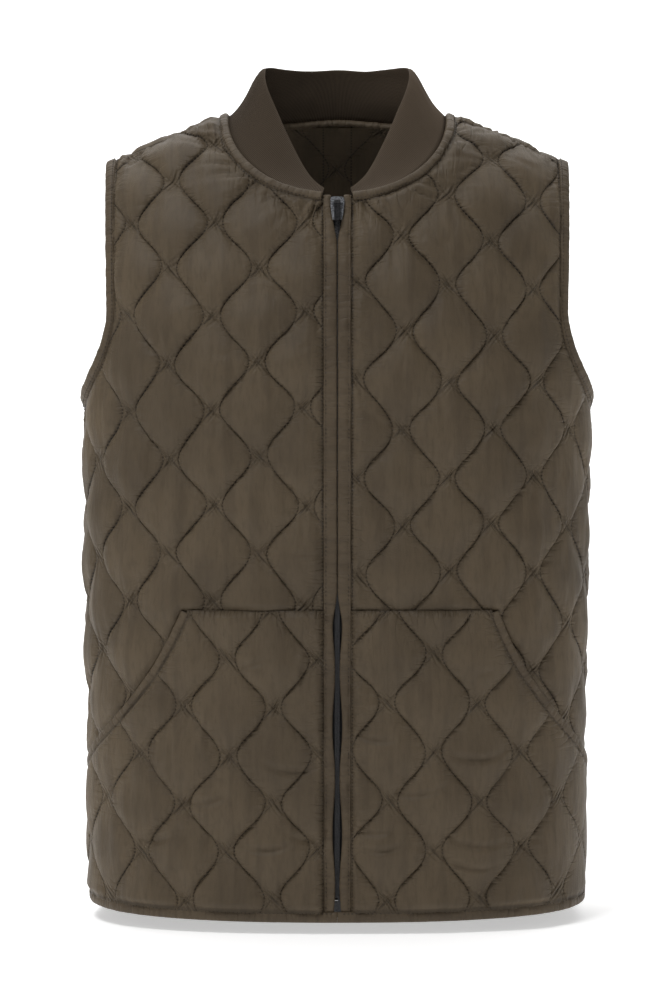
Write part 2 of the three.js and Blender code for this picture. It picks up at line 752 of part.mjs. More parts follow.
function zipSlider() {
  const [half, foot, tall] = [slider.width / 2, slider.foot / 2, slider.height / 2];
  const shape = new THREE.Shape();
  shape.moveTo(-foot, -tall);
  shape.lineTo(foot, -tall);
  shape.bezierCurveTo(foot + 1, -tall * 0.3, half, 0, half, tall * 0.7);
  shape.quadraticCurveTo(half, tall, half * 0.5, tall);
  shape.lineTo(-half * 0.5, tall);
  shape.quadraticCurveTo(-half, tall, -half, tall * 0.7);
  shape.bezierCurveTo(-half, 0, -foot - 1, -tall * 0.3, -foot, -tall);
  const top = slider.base + slider.thickness;
  const webRise = slider.base + 0.5 - web.base;
  const postRise = hinge.out + hinge.postDepth / 2 - top + 0.5;
  const postX = (hinge.inside + hinge.postWidth) / 2;
  const posts = [-postX, postX].map((x) =>
    boxAt(hinge.postWidth, postRise, hinge.postDepth, x, -(top - 0.5 + postRise / 2), hinge.up));
  const bar = new THREE.CylinderGeometry(hinge.barRadius, hinge.barRadius, 2 * postX, 10);
  bar.rotateZ(Math.PI / 2).translate(0, -hinge.out, hinge.up);
  const post = boxAt(web.width, webRise, web.height, 0, -(web.base + webRise / 2), web.height / 2);
  return joined([plate(shape, slider.thickness, slider.base), post, ...posts, bar]);
}

// Pull tab about its own hinge line, hanging down from the eye
function zipPullTab() {
  const { width, length, thickness, eyeInner, eyeOuter } = pullTab;
  const eye = new THREE.Shape().absarc(0, 0, eyeOuter, 0, 2 * Math.PI, false);
  eye.holes.push(new THREE.Path().absarc(0, 0, eyeInner, 0, 2 * Math.PI, true));
  const ring = new THREE.ExtrudeGeometry(eye, { depth: width, bevelEnabled: false, curveSegments: 8 });
  ring.rotateY(Math.PI / 2).translate(-width / 2, 0, 0);
  const end = width / 2;
  const blade = new THREE.Shape();
  blade.moveTo(-end, -(eyeInner + eyeOuter) / 2);
  blade.lineTo(-end, -length + end);
  blade.absarc(0, -length + end, end, Math.PI, 2 * Math.PI, false);
  blade.lineTo(end, -(eyeInner + eyeOuter) / 2);
  return joined([ring, plate(blade, thickness, -thickness / 2)]);
}

function zipEndBox() {
  const { width, depth, height } = endBox;
  const { radius, above, sunk } = endPin;
  const pin = new THREE.CylinderGeometry(radius, radius, height + above, 8).rotateX(Math.PI / 2);
  pin.translate(width / 4, -depth / 2 + sunk, above / 2);
  return joined([boxAt(width, depth, height, 0, 0, 0), pin]);
}

const cloth = (color, roughness = 0.62) => new THREE.MeshStandardMaterial({ color, roughness, metalness: 0 });
const metal = new THREE.MeshStandardMaterial({ color: 0x55565a, roughness: 0.35, metalness: 0.9 });

const quiltCloth = cloth(0x53493d);
const bindingCloth = cloth(0x4f463a);
const ribKnit = cloth(0x3f372f, 0.9);
const zipCloth = cloth(0x151312, 0.8);

const garment = new THREE.Group();

function addPiece(name, geometry, material, parent = garment) {
  const piece = new THREE.Mesh(geometry, material);
  piece.name = name;
  parent.add(piece);
  return piece;
}

addPiece("back_panel", backPanel(), quiltCloth);
for (const [name, side] of [["right", -1], ["left", 1]]) {
  const key = name === "right" ? "Right" : "Left";
  addPiece(`front_${name}_panel`, frontPanel(side, quilts[`front${key}`]), quiltCloth);
  addPiece(`pocket_${name}`, pocketPanel(side, quilts[`pocket${key}`]), quiltCloth);
  addPiece(`pocket_${name}_edge`, pocketEdge(side), bindingCloth);
  addPiece(`placket_${name}`, placket(side), bindingCloth);
  addPiece(`armhole_${name}_binding`, armholeBinding(side), bindingCloth);
  const hemEnds = [zipOpenHalfGap, sideSeam - seamGap / 2].map((s) => s * side).sort((a, b) => a - b);
  addPiece(`hem_${name}_binding`, hemBinding(front, ...hemEnds, frontHemThickness), bindingCloth);
}
const backHemEnd = 2 * quarter - sideSeam - seamGap / 2;
addPiece("hem_back_binding", hemBinding(back, -backHemEnd, backHemEnd, bindingThickness), bindingCloth);
addPiece("neck_binding", neckBinding(), bindingCloth);
addPiece("collar", collar(), ribKnit);
addPiece("zip_chain", zipChain(), zipCloth);

const sliderStand = onFront(sliderHeight);
addPiece("zip_slider", zipSlider(), metal, sliderStand);
addPiece("zip_pull_tab", zipPullTab(), metal, sliderStand).position.set(0, -hinge.out, hinge.up);
const boxStand = onFront(endBox.base + endBox.height / 2);
addPiece("zip_end_box", zipEndBox(), metal, boxStand);
garment.add(sliderStand, boxStand);

garment.position.z = -crestHeight(neckHalfWidth);
const vest = new THREE.Group();
vest.add(garment);

export default vest;
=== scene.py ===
import bpy
import numpy as np
from mathutils import Matrix


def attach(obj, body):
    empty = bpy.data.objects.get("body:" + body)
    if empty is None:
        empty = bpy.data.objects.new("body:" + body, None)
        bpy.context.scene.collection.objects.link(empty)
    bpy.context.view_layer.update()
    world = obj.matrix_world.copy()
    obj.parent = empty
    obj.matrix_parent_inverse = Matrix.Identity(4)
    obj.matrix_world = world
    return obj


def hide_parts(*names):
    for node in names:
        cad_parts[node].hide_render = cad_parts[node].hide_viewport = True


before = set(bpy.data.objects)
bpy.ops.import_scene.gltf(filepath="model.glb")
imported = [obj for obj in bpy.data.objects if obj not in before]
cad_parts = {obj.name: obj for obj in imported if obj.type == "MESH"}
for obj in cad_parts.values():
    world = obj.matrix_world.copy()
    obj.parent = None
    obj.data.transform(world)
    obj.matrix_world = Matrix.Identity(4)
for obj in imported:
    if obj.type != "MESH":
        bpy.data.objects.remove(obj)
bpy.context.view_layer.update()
print("frame loaded")

# The vest in millimetres, x to the wearer's left, y to the back, heights from the hem, as in the part's source
body = {
    "hemHalf": 206.5, "chestHalf": 213.0, "frontDepth": 123.0, "backDepth": 114.0,
    "frontHollow": 2.0, "backHollow": 6.0, "power": 2.7, "chestHeight": 430.0,
    "crest": 709.0, "rounding": 30.0, "slope": 0.41, "hemSideRise": 6.0,
    "seamForward": 14.0, "hemSeam": 5.3,
}
neck = {"half": 99.8, "drop": 81.0, "power": 2.1, "endAngle": 1.45, "backDepth": 51.0, "axisY": -12.0}
armhole = {"centre": 500.0, "front": 90.0, "back": 84.5, "drop": 82.0, "top": 83.0}
quilting = {"pitch": 37.6, "swing": 12.0, "period": 78.7, "puff": 5.6}
quilts = {
    "frontRight": {"origin": -8.0, "phase": 295.5, "start": 1, "seed": 11},
    "frontLeft": {"origin": 34.4, "phase": 280.0, "start": -1, "seed": 12},
    "back": {"origin": 18.8, "phase": 287.0, "start": 1, "seed": 13},
    "pocketRight": {"origin": -34.5, "phase": 53.6, "start": 1, "seed": 14},
    "pocketLeft": {"origin": 23.4, "phase": 55.5, "start": -1, "seed": 15},
}
rowHeight = body["crest"] - body["slope"] * np.hypot(neck["half"], body["rounding"])  # of the row's origin
placketEdge = 11.5
widestBand = quilting["pitch"] + 2 * quilting["swing"]


def smooth(x):  # 3x^2 - 2x^3 between 0 and 1
    x = np.clip(x, 0, 1)
    return x * x * (3 - 2 * x)


def unit(v):
    return v / np.maximum(np.linalg.norm(v, axis=-1, keepdims=True), 1e-9)


def softNoise(x, y, seed):  # random heights at whole numbers, blended between the four round a place by smooth steps
    table = np.random.default_rng(seed).uniform(-1, 1, (97, 89))
    x, y = np.broadcast_arrays(x, y)
    i, j = np.floor(x).astype(int), np.floor(y).astype(int)
    u, v = smooth(x - i), smooth(y - j)
    low = table[i % 97, j % 89] * (1 - u) + table[(i + 1) % 97, j % 89] * u
    high = table[i % 97, (j + 1) % 89] * (1 - u) + table[(i + 1) % 97, (j + 1) % 89] * u
    return low * (1 - v) + high * v


# Section of the body: a quarter of a rounded rectangle, as shares of the half width and of the depth
turn = np.linspace(0, np.pi / 2, 2401)
sectionAcross = np.sin(turn) ** (2 / body["power"])
sectionDeep = np.maximum(np.cos(turn), 0) ** (2 / body["power"])
sectionSteps = np.hypot(np.diff(sectionAcross) * body["chestHalf"], np.diff(sectionDeep) * body["frontDepth"])
sectionLength = np.append(0, np.cumsum(sectionSteps))
quarter = sectionLength[-1]
sideSeam = quarter - body["seamForward"]


def halfWidth(t):
    return body["hemHalf"] + (body["chestHalf"] - body["hemHalf"]) * np.minimum(t / body["chestHeight"], 1)


def crestHeight(x):
    return body["crest"] - body["slope"] * np.hypot(x, body["rounding"])


def bodyDepth(face, t):  # the depth less a hollow that is deepest half way up to the chest
    hollow = np.sin(np.pi * np.clip(t / body["chestHeight"], 0, 1)) ** 2
    ahead = body["frontDepth"] - body["frontHollow"] * hollow
    behind = body["backDepth"] - body["backHollow"] * hollow
    return np.where(np.asarray(face) > 0, ahead, behind)


def sectionAt(s):
    length = np.minimum(np.abs(s), quarter)
    across = np.sign(s) * np.interp(length, sectionLength, sectionAcross)
    return across, np.interp(length, sectionLength, sectionDeep)


def climb(rise, depth, length, steps=40):  # angle reached up a quarter ellipse after that length of arc, and its whole arc
    angle, walked = np.zeros(np.shape(length)), np.zeros(np.shape(length))
    step = np.pi / 2 / steps
    for i in range(steps):
        middle = (i + 0.5) * step
        piece = step * np.hypot(rise * np.cos(middle), depth * np.sin(middle))
        angle = angle + step * np.clip((length - walked) / np.maximum(piece, 1e-9), 0, 1)
        walked = walked + piece
    return angle, walked


def crestLength(face, s):  # height along the cloth where front and back meet over the shoulder
    s = np.asarray(s, float)
    inside = np.where(np.abs(s) > quarter, 2 * quarter - np.abs(s), np.abs(s))
    across, deep = sectionAt(inside)
    rise = crestHeight(across * body["chestHalf"]) - body["chestHeight"]
    depth = deep * bodyDepth(face, body["chestHeight"])
    return body["chestHeight"] + climb(rise, depth, np.full(s.shape, np.inf))[1]


def clothPoint(face, s, t):
    # Upright below the chest; above it round a quarter ellipse of the height and depth that are left;
    # past the side line or past the crest the cloth goes on over the other face
    face, s, t = (np.array(a, float) for a in np.broadcast_arrays(face, s, t))
    past = np.abs(s) > quarter
    face = np.where(past, -face, face)
    s = np.where(past, np.sign(s) * 2 * quarter - s, s)
    across, deep = sectionAt(s)
    x, depth = across * halfWidth(t), deep * bodyDepth(face, t)
    rise = crestHeight(x) - body["chestHeight"]
    angle, whole = climb(rise, depth, t - body["chestHeight"])
    straight = np.minimum(t, body["chestHeight"])
    points = np.stack([x, -face * depth * np.cos(angle), straight + rise * np.sin(angle)], axis=-1)
    over = t - body["chestHeight"] - whole
    gone = over > 0
    if gone.any():
        otherTop = crestLength(-face[gone], s[gone])
        points[gone] = clothPoint(-face[gone], s[gone], otherTop - over[gone])
    return points


def clothNormal(face, s, t, step=0.5):
    alongS = clothPoint(face, s + step, t) - clothPoint(face, s - step, t)
    alongT = clothPoint(face, s, t + step) - clothPoint(face, s, t - step)
    return unit(np.cross(alongS, alongT) * np.asarray(face, float)[..., None])


def clothPlace(face, x, z):  # where a point seen from the front or back lies along the cloth
    s = np.sign(x) * np.interp(np.minimum(np.abs(x) / halfWidth(z), 1), sectionAcross, sectionLength)
    rise = crestHeight(x) - body["chestHeight"]
    depth = sectionAt(s)[1] * bodyDepth(face, z)
    top = np.arcsin(np.clip((z - body["chestHeight"]) / rise, 0, 1))
    walked = 0
    for i in range(40):
        middle = (i + 0.5) * top / 40
        walked = walked + top / 40 * np.hypot(rise * np.cos(middle), depth * np.sin(middle))
    return s, np.minimum(z, body["chestHeight"]) + walked


def hemLine(s):
    inside = np.minimum(np.abs(s), 2 * quarter - np.abs(s))
    return body["hemSideRise"] * (inside / quarter) ** 2


def neckSeam(face, angle, side):
    if face > 0:  # an oval seen from the front
        power = 2 / neck["power"]
        x = neck["half"] * np.cos(angle) ** power
        z = crestHeight(neck["half"]) - neck["drop"] * np.sin(angle) ** power
        return clothPlace(1, side * x, z)
    x, y = neck["half"] * np.cos(angle), neck["backDepth"] * np.sin(angle)  # an ellipse seen from above
    across = clothPlace(-1, side * x, body["chestHeight"] + 0 * x)[0]
    closing = np.minimum(y / (sectionAt(across)[1] * bodyDepth(-1, body["chestHeight"])), 1)
    z = body["chestHeight"] + (crestHeight(x) - body["chestHeight"]) * np.sqrt(1 - closing**2)
    return clothPlace(-1, side * x, z)


def armholeSeam(face, t):  # distance in from the side line
    widest = armhole["front"] if face > 0 else armhole["back"]
    top = crestLength(face, quarter - armhole["top"])
    above = widest + (armhole["top"] - widest) * (t - armhole["centre"]) / (top - armhole["centre"])
    below = widest * np.sqrt(np.maximum(0, 1 - ((armhole["centre"] - t) / armhole["drop"]) ** 2))
    return np.where(t > armhole["centre"], above, below)


def distanceTo(line, s, t):  # shortest distance to the pieces of a line drawn in the flat
    least = np.full(np.shape(s), 1e9)
    for a, b in zip(line[:-1], line[1:]):
        step = b - a
        along = np.clip(((s - a[0]) * step[0] + (t - a[1]) * step[1]) / (step @ step), 0, 1)
        least = np.minimum(least, np.hypot(s - a[0] - along * step[0], t - a[1] - along * step[1]))
    return least


# The sewn lines aren't quite even: the pattern is shifted by slow sines, each a shift, and the lengths in mm that s
# and t take to turn it by one radian, with a start
driftAcross = [(1.3, 67.0, 31.0, 0.9), (0.45, -13.0, 7.3, 0.0)]
driftUp = [(1.7, 37.0, -59.0, 0.0), (0.5, 9.1, 11.7, 2.0)]


def drifted(s, t):
    across = sum(shift * np.sin(s / bySide + t / byHeight + start) for shift, bySide, byHeight, start in driftAcross)
    up = sum(shift * np.sin(s / bySide + t / byHeight + start) for shift, bySide, byHeight, start in driftUp)
    return s + across, t + up


def evenLine(quilt, k, t):
    swing = quilting["swing"] * np.cos(2 * np.pi * (t - quilt["phase"]) / quilting["period"])
    return quilt["origin"] + quilting["pitch"] * k + quilt["start"] * np.where(k % 2 == 0, 1, -1) * swing


def stitchLine(quilt, k, t):  # where the drifted line number k lies at height t
    s = evenLine(quilt, k, t)
    for _ in range(4):
        across, up = drifted(s, t)
        s = s + evenLine(quilt, k, up) - across
    return s


def bandAt(quilt, s, t):  # number of the band between two even lines, the share across it, and its width
    k = np.floor((s - quilt["origin"]) / quilting["pitch"])
    k = k - (s < evenLine(quilt, k, t)) + (s > evenLine(quilt, k + 1, t))
    low, high = evenLine(quilt, k, t), evenLine(quilt, k + 1, t)
    return k, np.clip((s - low) / (high - low), 0, 1), high - low


relief = {
    "pinch": 0.85, "pinchHeight": 1.0, "pinchAbove": 5.5, "pinchBelow": 13.0,
    "crown": 0.72, "crownLean": 0.30,  # below 1 the puffs are steeper at the stitches, most at the cells' feet
    "sag": 0.20, "uneven": 0.14,
    "groove": 0.8, "grooveWidth": 1.0,
    "pleat": 1.0, "pleatPitch": 5.0, "pleatReach": 4.0,
    "crossDepth": 0.9, "crossWidth": 1.7, "crossReach": 9.0, "crossSlope": 0.95, "crossPitch": 5.0,
    "tension": 0.6, "tensionPitch": 7.5, "tensionReach": 13.0,
    "streak": 0.42, "streakPitch": 5.0, "streakLength": 34.0,
    "crease": 1.1, "creasePitch": 13.0, "creaseLength": 44.0, "creaseShare": 0.15,
    "fold": 1.2, "foldPitch": 12.0, "foldLength": 30.0,
}


def sharpened(wave, share):  # 1 along the places where a wave changes sign, falling off to 0 beside them
    return np.exp(-((wave / share) ** 2))


def quiltHeight(quilt, s, t):
    # Puff: width^0.7 times sin^crown across the band, fuller and steeper below each widest place, uneven by
    # noise, pinched at each neck, steeply above it and gently below, less a narrow groove at the stitches. Added: pleats across the stitch lines, crossed creases at the
    # narrow necks, folds that fan out from the necks, soft streaks and a few sharp creases that run up the cells
    s, t = drifted(s, t)
    k, share, width = bandAt(quilt, s, t)
    near = np.minimum(share, 1 - share) * width
    arch = np.maximum(np.sin(np.pi * share), 0)
    sign = quilt["start"] * np.where(k % 2 == 0, 1, -1)
    phase = 2 * np.pi * (t - quilt["phase"]) / quilting["period"]
    slant = sign * np.sin(phase)
    seed = quilt["seed"]
    puff = quilting["puff"] * (width / widestBand) ** 0.7 * arch ** (relief["crown"] - relief["crownLean"] * slant)
    puff = puff * (1 + relief["sag"] * slant + relief["uneven"] * softNoise(k * 3.7, t / 60, seed))
    groove = relief["groove"] * np.exp(-near / relief["grooveWidth"]) * (0.7 + 0.3 * slant)
    away = 1 - np.exp(-near / 1.4)
    pleats = softNoise(t / relief["pleatPitch"] + 7.3 * k, s / 14, seed + 1) * np.exp(-near / relief["pleatReach"])
    fromNeck = np.arctan2(np.sin(phase), np.cos(phase) * sign) * quilting["period"] / (2 * np.pi)
    fromNeck = np.where(sign > 0, fromNeck, -fromNeck)
    above = fromNeck - relief["pinchHeight"]
    pinched = np.exp(-((above / np.where(above > 0, relief["pinchAbove"], relief["pinchBelow"])) ** 2))
    puff = puff * (1 - relief["pinch"] * pinched)
    aside = s - quilt["origin"] - quilting["pitch"] * (k + 0.5)
    crossed = 0
    for lean in (1, -1):
        across = aside - lean * relief["crossSlope"] * fromNeck
        crossed = crossed + (np.exp(-((across / relief["crossWidth"]) ** 2))
                             + 0.7 * np.exp(-(((across - lean * relief["crossPitch"]) / relief["crossWidth"]) ** 2))
                             ) * (0.6 + 0.6 * softNoise(k * 2.3 + 11 * lean, t / quilting["period"] * 2, seed + 6))
    crossed = crossed * np.exp(-((fromNeck / relief["crossReach"]) ** 2)) * away
    fromWide = quilting["period"] / 2 - np.abs(fromNeck)
    fan = np.cos(2 * np.pi * fromWide / relief["tensionPitch"] + 2 * softNoise(k * 5.1, t / 40, seed + 2))
    fan = fan * np.exp(-((fromWide / relief["tensionReach"]) ** 2)) * np.exp(-near / 6.5)
    streaks = softNoise(s / relief["streakPitch"], t / relief["streakLength"], seed + 3) * arch
    folds = softNoise(s / relief["foldPitch"], t / relief["foldLength"], seed + 4) * arch
    creases = sharpened(softNoise(s / relief["creasePitch"] + 0.3 * k, t / relief["creaseLength"], seed + 7),
                        relief["creaseShare"])
    creases = creases * smooth(0.3 + 1.6 * softNoise(s / 21, t / 24, seed + 8)) * arch
    return (puff - groove + away * (relief["pleat"] * pleats + relief["tension"] * fan)
            - relief["crossDepth"] * crossed + relief["streak"] * streaks + relief["fold"] * folds
            - relief["crease"] * creases)


def sewnAmounts(seams, gathered, puckered):
    # For the cloth's finish: x is painted shade that darkens the cloth at its seams, y is how far creases run upwards
    # from the seams that are named as gathered, z how far they run sideways from the puckered ones
    def amount(names, reach):
        return np.clip(sum(np.exp(-np.maximum(seams[name], 0) / reach) for name in names), 0, 1)
    nearest = np.minimum.reduce([*seams.values()])
    return np.stack([np.exp(-((nearest / 1.4) ** 2)), amount(gathered, 15), amount(puckered, 7)], axis=-1)


def placedFolds(folds, s, t):  # each: place, angle from level, half length, half width, height; a soft ridge or trough
    total = np.zeros(np.shape(s))
    for fs, ft, angle, reach, width, height in folds:
        c, n = np.cos(np.radians(angle)), np.sin(np.radians(angle))
        along, across = (s - fs) * c + (t - ft) * n, (t - ft) * c - (s - fs) * n
        across = across + 0.012 * along**2 * np.sign(height)
        across = across * np.where(across < 0, 1.7, 0.8)
        total = total + height * np.exp(-((along / reach) ** 2)) * np.exp(-((across / width) ** 2))
    return total


def settled(top, s, t):  # how full the puffs are: less at the shoulder seam, round the sides and there near the hem
    slim = np.where(s > 0, 0.42, 0.12) + 0.35 * smooth((190 - t) / 90)
    return (0.7 + 0.3 * smooth(top / 40)) * (1 - slim * smooth((np.abs(s) - 165) / 50))


def rucks(distance, along, depth, reach, seed, pitch=4.4):
    # Creases that run away from a seam and die out: soft ones, and every few of them a sharp one that runs further
    wave = softNoise(along / pitch, distance / 30, seed)
    sharp = sharpened(softNoise(along / (2.1 * pitch), distance / 45, seed + 70), 0.2)
    sharp = sharp * smooth(0.7 + softNoise(along / (3 * pitch), distance / 60, seed + 71))
    soft = np.exp(-np.maximum(distance, 0) / reach)
    far = np.exp(-((np.maximum(distance, 0) / (1.5 * reach)) ** 2))
    return depth * (wave * soft - 0.95 * sharp * far) * smooth((distance - 1) / 3)


# Shader wiring: arithmetic on a Wire adds Math nodes, and node() adds any other node

class Wire:
    def __init__(self, tree, out=None):
        self.tree, self.out = tree, out

    def node(self, kind, settings, values, out=0):  # settings are set first, then the sockets' numbers or wires
        made = self.tree.nodes.new(kind)
        for name, value in settings.items():
            if name == "stops":
                ramp = made.color_ramp
                while len(ramp.elements) < len(value):
                    ramp.elements.new(0.5)
                for element, (place, colour) in zip(ramp.elements, value):
                    element.position, element.color = place, colour
            else:
                setattr(made, name, value)
        for name, value in values.items():
            if isinstance(value, Wire):
                self.tree.links.new(value.out, made.inputs[name])
            else:
                made.inputs[name].default_value = value
        return Wire(self.tree, made.outputs[out] if made.outputs else None)

    def math(self, operation, *values, clamp=False):
        return self.node("ShaderNodeMath", {"operation": operation, "use_clamp": clamp}, dict(enumerate(values)))

    def __add__(self, other): return self.math("ADD", self, other)
    def __radd__(self, other): return self.math("ADD", other, self)
    def __sub__(self, other): return self.math("SUBTRACT", self, other)
    def __rsub__(self, other): return self.math("SUBTRACT", other, self)
    def __mul__(self, other): return self.math("MULTIPLY", self, other)
    def __rmul__(self, other): return self.math("MULTIPLY", other, self)
    def __truediv__(self, other): return self.math("DIVIDE", self, other)
    def __pow__(self, other): return self.math("POWER", self, other)

    def parts(self, vector, count):  # the first numbers of a vector
        split = self.node("ShaderNodeSeparateXYZ", {}, {"Vector": vector}).out.node
        return [Wire(self.tree, split.outputs[i]) for i in range(count)]

    def wave(self, pitch):  # sine of the value, one turn for each pitch
        return self.math("SINE", self * (2 * np.pi / pitch))

    def between(self, low, high):
        return self.node("ShaderNodeMapRange", {"interpolation_type": "SMOOTHSTEP"}, {0: self, 1: low, 2: high})


def linear(red, green, blue):  # a colour given as on a screen, 0 to 255, in the renderer's own scale
    c = np.array([red, green, blue]) / 255
    return (*np.where(c < 0.04045, c / 12.92, ((c + 0.055) / 1.055) ** 2.4).tolist(), 1.0)


def mixed(wires, share, first, second):
    return wires.node("ShaderNodeMix", {"data_type": "RGBA"}, {0: share, 6: first, 7: second}, out=2)


def newFinish(name):
    made = bpy.data.materials.new(name)
    made.use_nodes = True
    made.node_tree.nodes.clear()
    return made, Wire(made.node_tree)


def finishWith(wires, values):
    shader = wires.node("ShaderNodeBsdfPrincipled", {}, values)
    wires.node("ShaderNodeOutputMaterial", {}, {"Surface": shader})


# Shell colours: the cloth's own; a lighter one that is both a painted sheen highlight in soft patches and the colour of
# the slub flecks; painted shade along crinkle streaks; painted shade at seams, stitch lines and neck crease cuts
shell = {
    "colour": (80, 69, 54), "sheenAndSlub": (98, 85, 67), "shade": (65, 55, 43), "groove": (24, 19, 14),
    "roughness": 0.56, "specular": 0.22, "sheen": 0.13, "sheenRoughness": 0.40, "sheenTint": (176, 160, 134),
    "weave": 0.00062, "weaveHeight": 0.00003, "crinkle": 0.0004, "broad": 0.0014, "soft": 0.0028, "sharp": 0.0011,
}
sewing = {"hole": 2.8, "line": 0.5, "groove": 0.9, "crossPitch": 3.6, "crossWide": 4.0, "crossLong": 8.5,
          "cut": 0.7, "cutLong": 8.0, "cutAbove": 3.6}


def bell(wires, value, width):  # e to the power of -(value / width)^2
    return wires.math("EXPONENT", -1 * (value / width) ** 2)


def sewnPattern(wires, quilt, s, t, wander):
    # At full fineness, from the place in mm: the painted shade of the stitch lines, deepest along each cell's lower
    # edge as under light from above, with dark needle holes and crease cuts at the necks; and the height of the needle
    # holes and of the crossed wrinkles at the necks. near is the distance to the nearest of two families of wavy lines;
    # the necks lie where both a and b are 0, and wrinkles run along a and b
    across, up = s, t
    for shift, bySide, byHeight, start in driftAcross:
        across = across + wires.math("SINE", s * (1 / bySide) + t * (1 / byHeight) + start) * shift
    for shift, bySide, byHeight, start in driftUp:
        up = up + wires.math("SINE", s * (1 / bySide) + t * (1 / byHeight) + start) * shift
    s, t = across, up
    pitch, period = quilting["pitch"], quilting["period"]
    angle = (t - quilt["phase"]) * (2 * np.pi / period)
    swing = wires.math("COSINE", angle) * (quilt["start"] * quilting["swing"])
    steep = wires.math("SINE", angle)
    fromEven = s - quilt["origin"] - swing
    near = wires.math("MINIMUM", wires.math("PINGPONG", fromEven, pitch),
                      wires.math("PINGPONG", s - quilt["origin"] - pitch + swing, pitch))
    lean = 2 * np.pi * quilting["swing"] / period
    near = near / wires.math("SQRT", 1 + (steep * lean) ** 2)
    inEven = wires.math("LESS_THAN", wires.math("WRAP", fromEven, 2 * pitch, 0.0), pitch - 2 * swing)
    # foot is positive on a cell's lower edge, where the painted shade beside the line is deepest
    foot = (inEven * 2 - 1) * steep * quilt["start"]
    hole = t.wave(sewing["hole"]) * 0.5 + 0.5
    line = bell(wires, near, sewing["line"])
    # painted shade: a band of shade beside each stitch line, stronger on the cells' lower edges, and dark needle holes
    # along it
    dark = wires.math("ADD", bell(wires, near, sewing["groove"]) * (0.03 + 0.44 * foot), line * hole * 0.85, clamp=True)
    height = line * (0.2 + 0.6 * hole) * -0.0007
    column = (s - quilt["origin"]) / pitch - 0.5
    row = (t - quilt["phase"]) * (2 / period) + (1 - quilt["start"]) / 2
    unitLength = pitch * period / np.hypot(pitch, period / 2)
    places = [wires.math("WRAP", place * 0.5, 0.5, -0.5) * unitLength for place in (column + row, column - row)]
    bend = (wander - 0.5) * 12
    for (a, b), way, share in ((places, 1, wander), (places[::-1], -1, 1 - wander)):
        strong = share.between(0.36, 0.56)
        wrinkle = (a + bend + b * 0.12).wave(sewing["crossPitch"]) * bell(wires, a, sewing["crossWide"]) * bell(
            wires, b, sewing["crossLong"])
        height = height + wrinkle * (0.2 + 0.8 * strong) * 0.0012
        # painted shade in a short crease cut at each neck
        cut = bell(wires, a + bend * 0.1, sewing["cut"]) * bell(wires, b - way * sewing["cutAbove"], sewing["cutLong"])
        dark = wires.math("MAXIMUM", dark, cut * (0.05 + 0.5 * strong))
        height = height - cut * 0.0009
    return dark, height, wires.math("EXPONENT", near * -0.3)


